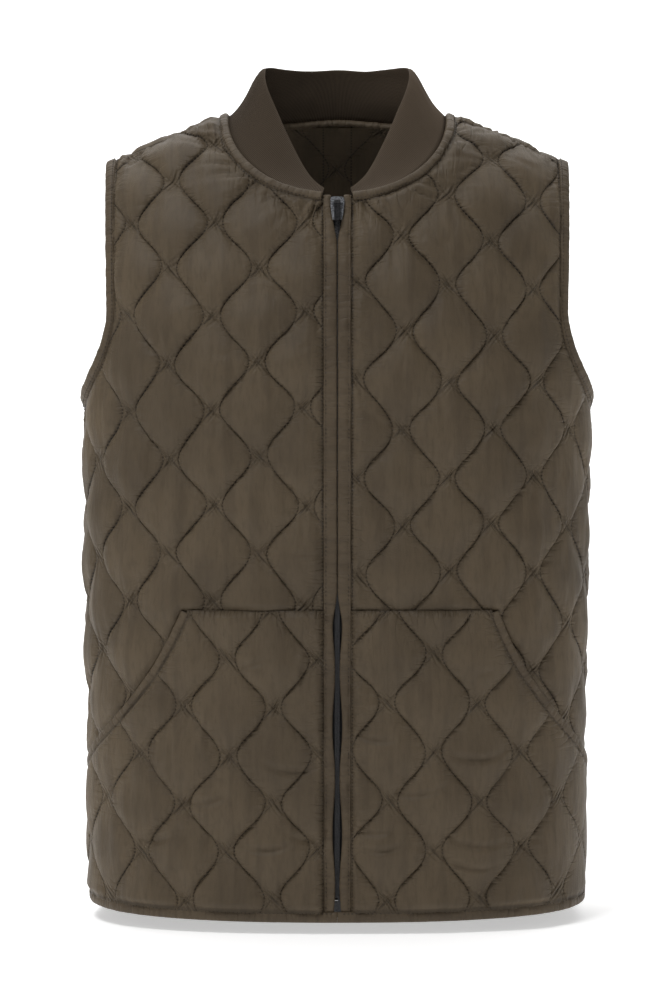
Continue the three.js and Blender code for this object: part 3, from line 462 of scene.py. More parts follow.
def clothFinish(name, colour=None, quilt=None, gather=0.0):
    # A fine plain weave along the cloth's own u and v, over crinkles that run up it; near seams sharp creases
    # lie where a stretched noise passes a half. A quilted cloth also has its stitch lines and neck wrinkles
    made, wires = newFinish(name)
    flat = wires.node("ShaderNodeUVMap", {"uv_map": "cloth"}, {})
    u, v = wires.parts(flat, 2)

    def noise(scale, along=1.0, upwards=1.0, detail=3.0):
        stretched = wires.node("ShaderNodeMapping", {}, {"Vector": flat, "Scale": (along, upwards, 1.0)})
        return wires.node("ShaderNodeTexNoise", {}, {"Vector": stretched, "Scale": scale, "Detail": detail})

    weave = u.wave(shell["weave"]) * v.wave(shell["weave"])
    streak, broad, slub = noise(330.0, 1.0, 0.28, 4.0), noise(95.0, 1.0, 0.14), noise(2100.0, detail=2.0)
    place = wires.node("ShaderNodeTexCoord", {}, {}, out=3)
    # painted sheen highlight: soft light patches over the cloth, made stronger towards the sides of a quilted panel
    # below
    sheenPatch = wires.node("ShaderNodeTexNoise", {}, {"Vector": place, "Scale": 14.0, "Detail": 3.0})
    seam, gathered, puckered = wires.parts(wires.node("ShaderNodeAttribute", {"attribute_name": "sewn"}, {}, out=1), 3)
    upright, level = noise(120.0, 1.0, 0.20, 1.5), noise(150.0, 0.30, 1.0, 1.5)
    height = (weave * shell["weaveHeight"] + streak * shell["crinkle"] + slub * 0.00006 + broad * shell["broad"])
    # painted shade: the cloth darkens towards the groove colour along its seams
    dark = seam * 0.42
    if quilt:
        wander = noise(30.0, 1.0, 1.0, 1.0)
        # painted shade along the stitch lines and in the crease cuts at the necks
        paintedLineShade, lineHeight, puckerShare = sewnPattern(wires, quilt, u * 1000, v * 1000, wander)
        dark = wires.math("MAXIMUM", dark, paintedLineShade)
        # painted shade: a dotted dark line just outside the placket's edge
        edge = bell(wires, wires.math("ABSOLUTE", u * 1000) - placketEdge - 0.9, 0.7)
        dark = wires.math("MAXIMUM", dark, edge * ((v * 1000).wave(sewing["hole"]) * 0.42 + 0.46))
        height = height + lineHeight
        puckered = wires.math("MAXIMUM", puckered, puckerShare)
    for wave, amount in ((upright, gathered + gather), (level, puckered)):
        crease = wires.math("EXPONENT", -1 * ((wave - 0.5) / 0.045) ** 2)
        height = height + amount * ((wave - 0.5) * shell["soft"] - crease * shell["sharp"])
    # painted sheen: on quilted cloth the light patches grow stronger towards the sides
    aside = wires.math("ABSOLUTE", u).between(0.14, 0.24) * (0.5 if quilt else 0.0)
    tone = mixed(wires, sheenPatch.between(0.35, 0.62) * (0.4 + aside), linear(*(colour or shell["colour"])), linear(*shell["sheenAndSlub"]))
    # streaks and broad patches take painted shade, slub flecks the lighter colour, and seams and stitch lines painted
    # shade
    for share, other in (((1 - streak.between(0.30, 0.55)) * 0.30, "shade"), (slub.between(0.45, 0.75) * 0.16, "sheenAndSlub"),
                         (broad.between(0.46, 0.66) * 0.34, "shade"), (dark, "groove")):
        tone = mixed(wires, share, tone, linear(*shell[other]))
    bump = wires.node("ShaderNodeBump", {}, {"Strength": 0.8, "Distance": 1.0, "Height": height})
    finishWith(wires, {
        "Base Color": tone, "Roughness": shell["roughness"] + 0.10 * (slub - 0.5), "Normal": bump,
        "Specular IOR Level": shell["specular"], "Sheen Weight": shell["sheen"],
        "Sheen Roughness": shell["sheenRoughness"], "Sheen Tint": linear(*shell["sheenTint"]),
    })
    return made


knit = {"colour": (87, 75, 62), "ribValleyShade": (42, 36, 29), "rib": 1.5, "roughness": 0.9, "sheen": 0.35}


def knitFinish(name):  # ribs run along v, one for each unit of u, with small loops along each rib
    made, wires = newFinish(name)
    flat = wires.node("ShaderNodeUVMap", {"uv_map": "cloth"}, {})
    parts = wires.node("ShaderNodeSeparateXYZ", {}, {"Vector": flat})
    u, v = parts, Wire(wires.tree, parts.out.node.outputs[1])
    crest = u.wave(1.0) * 0.5 + 0.5
    loops = (v + (u * 2.0).math("SINE", u * 6.283) * 0.0002).wave(0.0011)
    fuzz = wires.node("ShaderNodeTexNoise", {}, {"Vector": wires.node("ShaderNodeTexCoord", {}, {}, out=3),
                                                   "Scale": 1500.0, "Detail": 3.0})
    # painted shade: the valleys between the ribs darken towards the second colour
    tone = mixed(wires, crest * 0.8 + 0.2 * fuzz, linear(*knit["ribValleyShade"]), linear(*knit["colour"]))
    height = loops * 0.00012 * crest + fuzz * 0.00015
    bump = wires.node("ShaderNodeBump", {}, {"Strength": 0.6, "Distance": 1.0, "Height": height})
    finishWith(wires, {"Base Color": tone, "Roughness": knit["roughness"], "Normal": bump,
                       "Specular IOR Level": 0.15, "Sheen Weight": knit["sheen"], "Sheen Roughness": 0.5,
                       "Sheen Tint": linear(120, 105, 90)})
    return made


def plainFinish(name, colour, roughness, metallic=0.0, grain=900.0, depth=0.00006, specular=0.4):
    made, wires = newFinish(name)
    place = wires.node("ShaderNodeTexCoord", {}, {}, out=3)
    speck = wires.node("ShaderNodeTexNoise", {}, {"Vector": place, "Scale": grain, "Detail": 3.0})
    dark = linear(*(np.array(colour) * 0.72))
    bump = wires.node("ShaderNodeBump", {}, {"Strength": 0.5, "Distance": 1.0, "Height": speck * depth})
    finishWith(wires, {"Base Color": mixed(wires, speck.between(0.3, 0.7), dark, linear(*colour)),
                       "Roughness": roughness + 0.12 * (speck - 0.5), "Metallic": metallic,
                       "Specular IOR Level": specular, "Normal": bump})
    return made


quiltCloth = {name: clothFinish("quilt_" + name, quilt=quilt) for name, quilt in quilts.items()}
bindingCloth = clothFinish("binding cloth", colour=(78, 67, 53), gather=0.45)
ribKnit = knitFinish("rib knit")
tapeCloth = plainFinish("zip tape", (22, 21, 21), 0.8, grain=1600.0)
coilPlastic = plainFinish("zip coil", (74, 74, 76), 0.36, grain=1200.0, depth=0.00002)
sliderMetal = plainFinish("slider metal", (136, 138, 142), 0.28, metallic=0.5, grain=700.0, depth=0.00003)
zipMetal = plainFinish("zip metal", (60, 60, 61), 0.30, metallic=0.92, grain=700.0, depth=0.00003)
threadCloth = plainFinish("sewing thread", (94, 82, 66), 0.7, grain=2600.0, depth=0.00008)
darkThread = plainFinish("edge thread", (50, 42, 33), 0.7, grain=2600.0, depth=0.00008)
print("finishes ready")


# Meshes

def gridQuads(rows, columns, roundRows=False, roundColumns=False):
    r = np.arange(rows if roundRows else rows - 1)[:, None]
    c = np.arange(columns if roundColumns else columns - 1)[None, :]
    here, up = r * columns, (r + 1) % rows * columns
    right = (c + 1) % columns
    return np.stack(np.broadcast_arrays(here + c, here + right, up + right, up + c), axis=-1).reshape(-1, 4)


def addMesh(name, points, quads, flat, finish, sewn=None):
    # Corners that lie together become one, faces without area are dropped, and the rest are turned outwards
    tidy, keep, joined = np.unique(np.round(points, 4), axis=0, return_index=True, return_inverse=True)
    joined = joined.reshape(-1)
    corners = joined[quads]
    same = corners == np.roll(corners, -1, axis=1)
    whole = ~same.any(axis=1) & (corners[:, 0] != corners[:, 2]) & (corners[:, 1] != corners[:, 3])
    single = same.sum(axis=1) == 1
    threes, threeCorners = corners[single][~same[single]].reshape(-1, 3), quads[single][~same[single]].reshape(-1, 3)
    proper = (threes[:, 0] != threes[:, 1]) & (threes[:, 1] != threes[:, 2]) & (threes[:, 0] != threes[:, 2])
    threes, threeCorners = threes[proper], threeCorners[proper]
    fours, fourCorners = corners[whole], quads[whole]
    halves = np.vstack([fours[:, [0, 1, 2]], fours[:, [0, 2, 3]], threes])
    a, b, c = (tidy[halves[:, i]] for i in range(3))
    if np.sum(a * np.cross(b, c)) < 0:
        fours, fourCorners = fours[:, ::-1], fourCorners[:, ::-1]
        threes, threeCorners = threes[:, ::-1], threeCorners[:, ::-1]
    mesh = bpy.data.meshes.new(name)
    placed = (tidy - [0, 0, rowHeight]) / 1000
    mesh.from_pydata(placed, [], fours.tolist() + threes.tolist())
    order = np.concatenate([fourCorners.reshape(-1), threeCorners.reshape(-1)])
    layer = mesh.uv_layers.new(name="cloth")
    layer.data.foreach_set("uv", flat[order].astype(np.float32).reshape(-1))
    mesh.polygons.foreach_set("use_smooth", np.ones(len(mesh.polygons), bool))
    if sewn is not None:
        amounts = mesh.attributes.new("sewn", "FLOAT_VECTOR", "POINT")
        amounts.data.foreach_set("vector", sewn[keep].astype(np.float32).reshape(-1))
    mesh.materials.append(finish)
    mesh.update()
    piece = bpy.data.objects.new(name, mesh)
    bpy.context.scene.collection.objects.link(piece)
    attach(piece, "vest")
    print(name, len(halves), "triangles")
    return piece


def shellMesh(name, parts, finish, coarse=(3, 3)):
    # Each part: outer and inner grids of points, their places in the flat, the outer face's sewn amounts, and which rows
    # have no wall at the first column, because the next part goes on there. The inner face keeps every third row
    # and column; a wall joins each border point to the last kept one before it
    points, quads, flat, shades, start = [], [], [], [], 0
    for outer, inner, places, shade, open_ in parts:
        rows, columns = outer.shape[:2]
        size = rows * columns
        kept = [np.unique(np.append(np.arange(0, n, step), n - 1)) for n, step in zip((rows, columns), coarse)]
        row, column = (np.searchsorted(k, np.arange(n), side="right") - 1 for k, n in zip(kept, (rows, columns)))
        wide = len(kept[1])
        inside = np.ix_(*kept)
        c, r = np.arange(columns - 1), np.arange(rows - 1)
        last, lastInner = (rows - 1) * columns, size + (len(kept[0]) - 1) * wide
        walls = [
            np.stack([c + 1, c, size + column[c], size + column[c + 1]], axis=-1),
            np.stack([last + c, last + c + 1, lastInner + column[c + 1], lastInner + column[c]], axis=-1),
            np.stack([r * columns, (r + 1) * columns, size + row[r + 1] * wide, size + row[r] * wide],
                     axis=-1)[~open_],
            np.stack([(r + 2) * columns - 1, (r + 1) * columns - 1, size + (row[r] + 1) * wide - 1,
                      size + (row[r + 1] + 1) * wide - 1], axis=-1),
        ]
        faces = np.vstack([gridQuads(rows, columns), size + gridQuads(len(kept[0]), wide)[:, ::-1], *walls])
        points.append(np.vstack([outer.reshape(-1, 3), inner[inside].reshape(-1, 3)]))
        a, b, c3 = (points[-1][faces[:, i]] for i in range(3))
        outward = np.sum((a - a.mean(axis=0)) * np.cross(b - a, c3 - a)) > 0
        quads.append((faces if outward else faces[:, ::-1]) + start)
        flat.append(np.vstack([places.reshape(-1, 2), places[inside].reshape(-1, 2)]))
        shades.append(np.vstack([shade.reshape(-1, 3), 0 * inner[inside].reshape(-1, 3)]))
        start += len(points[-1])
    return addMesh(name, np.vstack(points), np.vstack(quads), np.vstack(flat), finish, np.vstack(shades))


def carry(points, normals, profile, facing, closed=False):
    # point + sideways a + normal h for each (a, h) of the profile, where sideways = normal x direction of travel
    if closed:
        travel = np.roll(points, -1, axis=0) - np.roll(points, 1, axis=0)
    else:
        travel = np.gradient(points, axis=0)
    sideways = unit(np.cross(normals, travel)) * facing
    profile = np.broadcast_to(profile, (len(points), *profile.shape[-2:]))
    return points[:, None] + sideways[:, None] * profile[..., :1] + normals[:, None] * profile[..., 1:]


def lengthsOf(points):
    return np.append(0, np.cumsum(np.linalg.norm(np.diff(points, axis=0), axis=1)))


def tubeMesh(name, rings, finish, closed=False, around=None, ribs=None):
    # A round of points for each place on a path, ends closed to a point; u along it and v around it, in metres
    if not closed:
        middle = rings.mean(axis=1, keepdims=True)
        rings = np.concatenate([np.repeat(middle[:1], rings.shape[1], axis=1), rings,
                                np.repeat(middle[-1:], rings.shape[1], axis=1)])
    along = lengthsOf(rings.mean(axis=1)) / 1000 if ribs is None else ribs(lengthsOf(rings[:, 0]))
    across = np.append(0, np.cumsum(np.linalg.norm(np.diff(rings[len(rings) // 2], axis=0), axis=1))) / 1000
    flat = np.stack(np.broadcast_arrays(along[:, None], across[None, :]), axis=-1)
    quads = gridQuads(len(rings), rings.shape[1], roundRows=closed, roundColumns=True)
    return addMesh(name, rings.reshape(-1, 3), quads, flat.reshape(-1, 2), finish)


stitching = {"pitch": 3.3, "length": 2.4, "half": 0.42, "rise": 0.36}


def stitchRow(points, normals, pitch=stitching["pitch"]):
    # A stitch every pitch along the line: a long spindle of eight faces that lies on the cloth
    length = lengthsOf(points)
    middle = np.arange(pitch / 2, length[-1] - pitch / 2, pitch)
    at = lambda places, values: np.stack([np.interp(places, length, values[:, i]) for i in range(3)], axis=-1)
    centre, out = at(middle, points), unit(at(middle, normals))
    ahead = unit(at(middle + 0.8, points) - at(middle - 0.8, points))
    side = unit(np.cross(ahead, out))
    reach = ahead * stitching["length"] / 2 * (pitch / stitching["pitch"])
    half, rise = side * stitching["half"], out * stitching["rise"]
    return np.stack([centre - reach - rise, centre + half, centre + rise, centre - half, centre - rise,
                     centre + reach - rise], axis=1)


def addStitches(name, rows, finish=threadCloth):
    corners = np.concatenate(rows)
    faces = np.array([[0, 2, 1, 1], [0, 3, 2, 2], [0, 4, 3, 3], [0, 1, 4, 4],
                      [5, 1, 2, 2], [5, 2, 3, 3], [5, 3, 4, 4], [5, 4, 1, 1]])
    quads = (np.arange(len(corners))[:, None, None] * 6 + faces).reshape(-1, 4)
    points = corners.reshape(-1, 3)
    return addMesh(name, points, quads, points[:, [0, 2]] / 1000, finish)


# Panels

panel = {"rows": 360, "perBand": 26, "backRows": 330, "backPerBand": 16, "crowding": 0.5,
         "thickness": 2.0, "under": 2.4, "fade": 6.0, "lining": 1.1}


def bandPlaces(quilt, low, high, perBand):  # band numbers with a share, closer together near the stitch lines
    first = np.floor((low - quilt["origin"]) / quilting["pitch"]) - 1
    last = np.ceil((high - quilt["origin"]) / quilting["pitch"]) + 1
    whole = first + np.arange(int(last - first) * perBand + 1) / perBand
    k = np.floor(whole + 1e-9)
    share = whole - k
    return k, share - panel["crowding"] * np.sin(2 * np.pi * share) / (2 * np.pi)


def layOut(quilt, side, rows, perBand, low, high, bottom, top, least, most, cornerS, steep=1e3):
    # Columns follow the wavy stitch lines and rows divide the height between the bottom and top lines;
    # a column stops at the inner or outer edge line at its height. s is measured outwards on either side.
    # Beyond steep the top line falls too fast for that, so there the columns turn straighter as they rise
    mirror = {**quilt, "origin": quilt["origin"] * side, "start": quilt["start"] * side}
    k, share = bandPlaces(mirror, least, most, perBand)
    v = np.linspace(0, 1, rows)[:, None]
    straight = np.broadcast_to(mirror["origin"] + quilting["pitch"] * (k + share), (rows, len(k)))
    follow = 1 - 0.7 * smooth((straight - steep) / 20) * smooth(v * 1.8)
    s = straight
    for _ in range(9):
        inside = np.clip(s, *cornerS)
        t = bottom(s) + (top(inside) - bottom(s)) * v
        across, up = drifted(s * side, t)
        even = evenLine(mirror, k, up) * (1 - share) + evenLine(mirror, k + 1, up) * share
        s = np.clip(straight + follow * (even - side * across + s - straight), least, most)
    return np.clip(s, low(t), high(t)), t


ends = np.linspace(0, np.pi / 2, 90)
neckLines = {face: np.stack(neckSeam(face, ends, 1), axis=-1) for face in (1, -1)}  # from the crest to the middle
armTop = {face: float(crestLength(face, quarter - armhole["top"])) for face in (1, -1)}


def shifted(line, by):  # the line moved to its left in the flat
    step = np.gradient(line, axis=0)
    return line + by * unit(np.stack([-step[:, 1], step[:, 0]], axis=-1))


def neckEdge(face, under):  # distance of the neck's edge from the middle, at height t
    line = shifted(neckLines[face], -under if face > 0 else -under)
    line = line[np.argsort(line[:, 1])]
    return lambda t: np.where(t < line[0, 1], 0, np.interp(t, line[:, 1], line[:, 0]))


def armEdge(face, under):
    return lambda t: quarter - np.maximum(armholeSeam(face, t) - under, 0)


def armLine(face):
    t = np.append(armhole["centre"] - armhole["drop"] * np.cos(np.linspace(0, np.pi / 2, 24)),
                  np.linspace(armhole["centre"], armTop[face] + 20, 12)[1:])
    return np.stack([quarter - armholeSeam(face, t), t], axis=-1)


pocket = {"top": 250.0, "topHalf": {-1: 127.0, 1: 131.0}, "bend": (171.0, 152.0), "foot": 112.0,
          "base": 3.1, "wall": 1.8, "edgeWidth": 7.5, "edgeThickness": 2.8, "rows": 150, "perBand": 26}


def pocketHand(side, inset=0.0, count=60):
    # Hand edge in the flat: a curve from the top corner past a bend point to the side seam
    u = np.linspace(0, 1, count)[:, None]
    head = np.array([float(clothPlace(1, pocket["topHalf"][side], pocket["top"])[0]), pocket["top"]])
    foot = np.array([quarter, pocket["foot"]])
    line = (1 - u) ** 2 * head + 2 * u * (1 - u) * np.array(pocket["bend"]) + u * u * foot
    return shifted(line, -inset)


def pocketHeight(side, inset=0.0):
    line = pocketHand(side, inset)
    return lambda s: np.minimum(pocket["top"], np.interp(s, line[:, 0], line[:, 1], left=1e3))


def outsidePocket(side, s, t):
    # Distance outside the pocket's outline, zero over the pocket
    s = np.abs(s)
    line = pocketHand(side)
    outline = np.vstack([[placketEdge, pocket["top"]], line])
    under = t < pocketHeight(side)(s)
    return np.where(under, 0, distanceTo(outline, s, t))


foldsFront = {
    -1: [(-60, 420, 80, 60, 9, 0.9), (-150, 470, 70, 50, 10, 1.0), (-120, 330, 95, 60, 10, -0.9),
         (-27, 294, 0, 14, 2.4, -1.5), (-200, 300, 88, 60, 9, 1.0), (-90, 590, 65, 32, 7, 1.0),
         (-24, 345, 42, 14, 2.0, -0.8), (-160, 375, 84, 30, 5, 1.3)],
    1: [(60, 400, 98, 60, 9, 0.9), (150, 460, 110, 50, 10, 1.0), (118, 320, 85, 60, 10, -0.9),
        (60, 540, 125, 26, 6, 0.9), (205, 310, 92, 60, 9, 1.0), (132, 262, 92, 26, 4, 1.8),
        (27, 410, 150, 12, 2.0, -0.9), (176, 350, 97, 30, 5, 1.3)],
}
foldsBack = [(0, 560, 2, 70, 9, -1.2), (-120, 440, 60, 60, 10, 1.0), (130, 430, 118, 60, 10, 1.0),
             (-60, 250, 84, 70, 10, -0.9), (70, 270, 97, 70, 10, -0.9), (-200, 300, 88, 60, 9, 1.0),
             (205, 300, 92, 60, 9, 1.0), (20, 120, 4, 24, 2.6, -1.3), (-120, 140, 8, 22, 2.6, -1.3),
             (95, 60, -8, 24, 3, -1.3), (-60, 50, 6, 22, 3, -1.3)]
foldsPocket = {
    -1: [(-57, 54, 5, 20, 2.8, -1.5), (-107, 92, 12, 18, 2.8, -1.4), (-40, 118, -6, 18, 2.8, -1.3),
         (-110, 160, 75, 26, 4, 0.9), (-32, 200, 84, 22, 3.2, 1.0), (-150, 60, 10, 20, 3, -1.3),
         (-70, 205, 14, 16, 3, -0.9), (-25, 62, -8, 14, 2.4, -1.2)],
    1: [(30, 144, -10, 16, 2.6, -1.4), (116, 127, 0, 18, 2.8, -1.5), (67, 99, 4, 17, 2.6, -1.2),
        (30, 68, 0, 14, 2.4, -1.3), (38, 54, 6, 15, 2.4, -1.3), (110, 57, -12, 19, 2.8, -1.5),
        (105, 40, -15, 18, 2.6, -1.3), (60, 205, 96, 18, 3.4, 0.9)],
}


def frontSeams(s, t):
    out = np.abs(s)
    seams = {
        "neck": distanceTo(neckLines[1], out, t), "arm": distanceTo(armLine(1), out, t),
        "hem": t - body["hemSeam"] - hemLine(s), "top": crestLength(1, out) - body["seamForward"] - t,
        "side": sideSeam - out, "placket": out - placketEdge,
    }
    seams["side"] = np.where(t > armhole["centre"] - armhole["drop"], 1e3, seams["side"])
    return seams


def frontHeight(side, quilt, s, t):
    out, seams = np.abs(s), frontSeams(s, t)
    away = outsidePocket(side, s, t)
    nearest = np.minimum.reduce([*seams.values()])
    puffed = smooth((nearest + 0.3) / panel["fade"]) * (0.45 + 0.55 * smooth(away / 5)) * settled(seams["top"], s, t)
    puffed = np.where(away > 0, puffed, 0)
    seed = quilt["seed"] * 3
    round_ = np.arctan2(t - 620, out - 5) * 80
    gathered = (rucks(seams["neck"], round_, 3.0, 17, seed) + rucks(seams["placket"], t, 0.95, 6, seed + 1)
                + rucks(seams["top"], out, 2.5, 18, seed + 2, 5.0) + rucks(seams["arm"], t * 1.1, 0.9, 8, seed + 3)
                + rucks(seams["side"], t, 0.7, 8, seed + 4) + rucks(np.maximum(away, 0.01), out + t, 0.5, 6, seed + 5))
    raised = quiltHeight(quilt, s, t) + 1.3 * placedFolds(foldsFront[side], s, t)
    return panel["thickness"] + raised * puffed + gathered * smooth(away / 3)


def backSeams(s, t):
    out = np.abs(s)
    crest = crestLength(-1, out)
    seams = {
        "neck": distanceTo(np.vstack([[[neckLines[-1][0, 0], 760]], neckLines[-1]]), out, t),
        "arm": distanceTo(armLine(-1), out, t), "hem": t - body["hemSeam"] - hemLine(s),
        "top": crest + body["seamForward"] - t, "side": 2 * quarter - sideSeam - out,
    }
    seams["side"] = np.where(t > armhole["centre"] - armhole["drop"], 1e3, seams["side"])
    return seams


def backHeight(quilt, s, t):
    out, seams = np.abs(s), backSeams(s, t)
    nearest = np.minimum.reduce([*seams.values()])
    seed = quilt["seed"] * 3
    gathered = (rucks(seams["neck"], np.arctan2(t - 700, s) * 80, 1.6, 13, seed)
                + rucks(seams["top"], out + np.sign(s) * 40, 1.8, 16, seed + 2, 5.0)
                + rucks(seams["arm"], t * 1.1 + np.sign(s) * 9, 0.8, 8, seed + 3)
                + rucks(seams["side"], t + np.sign(s) * 50, 0.7, 8, seed + 4))
    raised = quiltHeight(quilt, s, t) + placedFolds(foldsBack, s, t)
    puffed = smooth((nearest + 0.3) / panel["fade"]) * settled(seams["top"], s, t)
    return panel["thickness"] + raised * puffed + gathered


def liningHeight(quilt, s, t, nearest=1e3):  # the inside puffs a little the other way between the same lines
    _, share, width = bandAt(quilt, *drifted(s, t))
    soft = softNoise(s / 8, t / 17, quilt["seed"] + 40) * 0.35
    return -(panel["lining"] * (width / widestBand) ** 0.7 + soft) * np.sin(np.pi * share) ** 0.8


def frontPanel(name, side, quilt):
    neckSide = neckEdge(1, panel["under"])
    armSide = armEdge(1, panel["under"])
    inner = lambda t: np.maximum(placketEdge - 0.4, neckSide(t))
    outer = lambda t: np.minimum(sideSeam - 0.12, armSide(t))
    corner = (neckLines[1][0, 0], quarter - armhole["top"])
    out, t = layOut(quilt, side, panel["rows"], panel["perBand"], inner, outer,
                    lambda s: body["hemSeam"] - panel["under"] + hemLine(s),
                    lambda s: crestLength(1, s) - body["seamForward"] - 0.1, placketEdge - 0.4, sideSeam, corner)
    s = out * side
    points, normals = clothPoint(1, s, t), clothNormal(1, s, t)
    high = frontHeight(side, quilt, s, t)
    low = liningHeight(quilt, s, t)
    places = np.stack([s, t], axis=-1) / 1000
    shade = sewnAmounts(frontSeams(s, t), ("neck", "top"), ("placket", "side", "arm"))
    part = (points + normals * high[..., None], points + normals * low[..., None], places, shade,
            np.zeros(len(t) - 1, bool))
    return shellMesh(name, [part], quiltCloth["frontRight" if side < 0 else "frontLeft"])


def backPanel(name, quilt):
    neckSide, armSide = neckEdge(-1, panel["under"]), armEdge(-1, panel["under"])
    middle = float(crestLength(-1, neckLines[-1][0, 0]))
    inner = lambda t: np.where(t > middle, neckLines[-1][0, 0] - panel["under"], neckSide(t))
    outer = lambda t: np.where(t > armTop[-1], quarter - armhole["top"] + panel["under"],
                               np.minimum(2 * quarter - sideSeam - 0.12,
                                          np.where(t < armhole["centre"] - armhole["drop"] + 1.2, 1e3, armSide(t))))
    corner = (neckLines[-1][0, 0], quarter - armhole["top"])
    parts = []
    for side in (1, -1):
        out, t = layOut(quilt, side, panel["backRows"], panel["backPerBand"], inner, outer,
                        lambda s: body["hemSeam"] - panel["under"] + hemLine(s),
                        lambda s: crestLength(-1, s) + body["seamForward"] - 0.1, 0.0,
                        2 * quarter - sideSeam, corner)
        s = out * side
        points, normals = clothPoint(-1, s, t), clothNormal(-1, s, t)
        high, low = backHeight(quilt, s, t), liningHeight(quilt, s, t)
        parts.append((points + normals * high[..., None], points + normals * low[..., None],
                      np.stack([s, t], axis=-1) / 1000, sewnAmounts(backSeams(s, t), ("neck", "top"), ("side", "arm")),
                      (out[:-1, 0] < 1e-6) & (out[1:, 0] < 1e-6)))
    return shellMesh(name, parts, quiltCloth["back"])


frontRight = frontPanel("front_right_cloth", -1, quilts["frontRight"])
frontLeft = frontPanel("front_left_cloth", 1, quilts["frontLeft"])
backCloth = backPanel("back_cloth", quilts["back"])
print("panels ready")


def pocketSeams(side, s, t):
    out = np.abs(s)
    return {"top": pocket["top"] - t, "placket": out - placketEdge, "side": sideSeam - out,
            "hem": t - body["hemSeam"] - hemLine(s), "hand": distanceTo(pocketHand(side, pocket["edgeWidth"]), out, t)}


def pocketLevel(side, quilt, s, t):  # height of the pocket's outer face above the front's inner face
    out, lines = np.abs(s), pocketSeams(side, s, t)
    edge, seams = lines["hand"], np.minimum.reduce([*lines.values()])
    seed = quilt["seed"] * 3
    gathered = (rucks(out - placketEdge, t, 0.9, 7, seed) + rucks(pocket["top"] - t, out, 0.8, 9, seed + 1)
                + rucks(t - body["hemSeam"], out, 0.9, 8, seed + 2) + rucks(edge, out, 0.6, 6, seed + 3))
    raised = quiltHeight(quilt, s, t) + 2.3 * placedFolds(foldsPocket[side], s, t)
    sewn = np.minimum(smooth((sideSeam - out) / 7), smooth((out - placketEdge) / 3))
    base = 2.6 + (pocket["base"] + pocket["wall"] - 2.6) * sewn
    return base + raised * smooth((seams + 0.5) / panel["fade"]) * settled(1e3, s, t) + gathered


def pocketPanel(name, side, quilt):
    height = pocketHeight(side, pocket["edgeWidth"] - 1.5)
    out, t = layOut(quilt, side, pocket["rows"], pocket["perBand"], lambda t: placketEdge - 0.4 + 0 * t,
                    lambda t: sideSeam - 0.12 + 0 * t, lambda s: body["hemSeam"] - panel["under"] + hemLine(s),
                    height, placketEdge - 0.4, sideSeam, (0, 1e3), 105.0)
    t = body["hemSeam"] - panel["under"] + hemLine(out) + (
        height(out) - body["hemSeam"] + panel["under"] - hemLine(out)) * np.linspace(0, 1, pocket["rows"])[:, None]
    s = out * side
    points, normals = clothPoint(1, s, t), clothNormal(1, s, t)
    high = pocketLevel(side, quilt, s, t)
    low = np.minimum(high - 0.7, pocket["base"] - 0.9 * smooth((20 - sideSeam + out) / 20))
    part = (points + normals * high[..., None], points + normals * low[..., None],
            np.stack([s, t], axis=-1) / 1000,
            sewnAmounts(pocketSeams(side, s, t), ("top",), ("placket", "side", "hand")), np.zeros(len(t) - 1, bool))
    return shellMesh(name, [part], quiltCloth["pocketRight" if side < 0 else "pocketLeft"])


pocketRight = pocketPanel("pocket_right_cloth", -1, quilts["pocketRight"])
pocketLeft = pocketPanel("pocket_left_cloth", 1, quilts["pocketLeft"])


# Bindings: a rounded band along each edge

binding = {"thickness": 4.2, "ruck": 0.35, "ruckPitch": 4.2}


def bandProfile(width, thickness, under=-0.6, flare=0.0, spots=9):
    # Over the top a flattened half oval from the seam to the free edge, then straight back underneath
    angle = np.linspace(np.pi, 0, spots)
    a = width / 2 * (1 + np.sign(np.cos(angle)) * np.abs(np.cos(angle)) ** 0.72)
    h = under + (thickness - under) * np.sin(angle) ** 0.55
    a, h = np.append(a, [width * 0.72, width * 0.3]), np.append(h, [under, under])
    return np.stack([a, h + flare * np.maximum(a, 0)], axis=-1)


def rucked(profile, lengths, seed, depth=None):
    # The band's height changes along it, mostly in the middle of its width
    wave = softNoise(lengths[:, None] / binding["ruckPitch"], profile[:, 0] / 5, seed)
    wave = wave + 0.6 * softNoise(lengths[:, None] / 11, profile[:, 0] / 9, seed + 1)
    upper = smooth((profile[:, 1] - profile[:, 1].min()) / 2)
    full = np.broadcast_to(profile, (len(lengths), *profile.shape)).copy()
    full[..., 1] += (depth or binding["ruck"]) * wave * upper
    return full


def hemBand(name, face, low, high, thickness):
    s = np.linspace(low, high, int((high - low) / 1.7))
    t = body["hemSeam"] + hemLine(s)
    points, normals = clothPoint(face, s, t), clothNormal(face, s, t)
    profile = rucked(bandProfile(9.4, thickness), lengthsOf(points), int(abs(low)) + 3)
    return tubeMesh(name, carry(points, normals, profile, -face), bindingCloth), points, normals


hemEnds = [(0.02, sideSeam - 0.15), (-(sideSeam - 0.15), -0.02)]
backHemEnd = 2 * quarter - sideSeam - 0.15
hemLeft = hemBand("hem_left_band", 1, *hemEnds[0], 5.4)[0]
hemRight = hemBand("hem_right_band", 1, *hemEnds[1], 5.4)[0]
hemBack = hemBand("hem_back_band", -1, -backHemEnd, backHemEnd, 4.2)[0]


def armholePath(side):
    def half(face):
        low = armhole["centre"] - armhole["drop"] * np.cos(np.linspace(0, np.pi / 2, 74)[:-1])
        t = np.append(low, np.linspace(armhole["centre"], armTop[face], 96))
        s = side * (quarter - armholeSeam(face, t))
        return clothPoint(face, s, t), clothNormal(face, s, t)
    ahead, behind = half(1), half(-1)
    return [np.concatenate([a, b[1:-1][::-1]]) for a, b in zip(ahead, behind)]


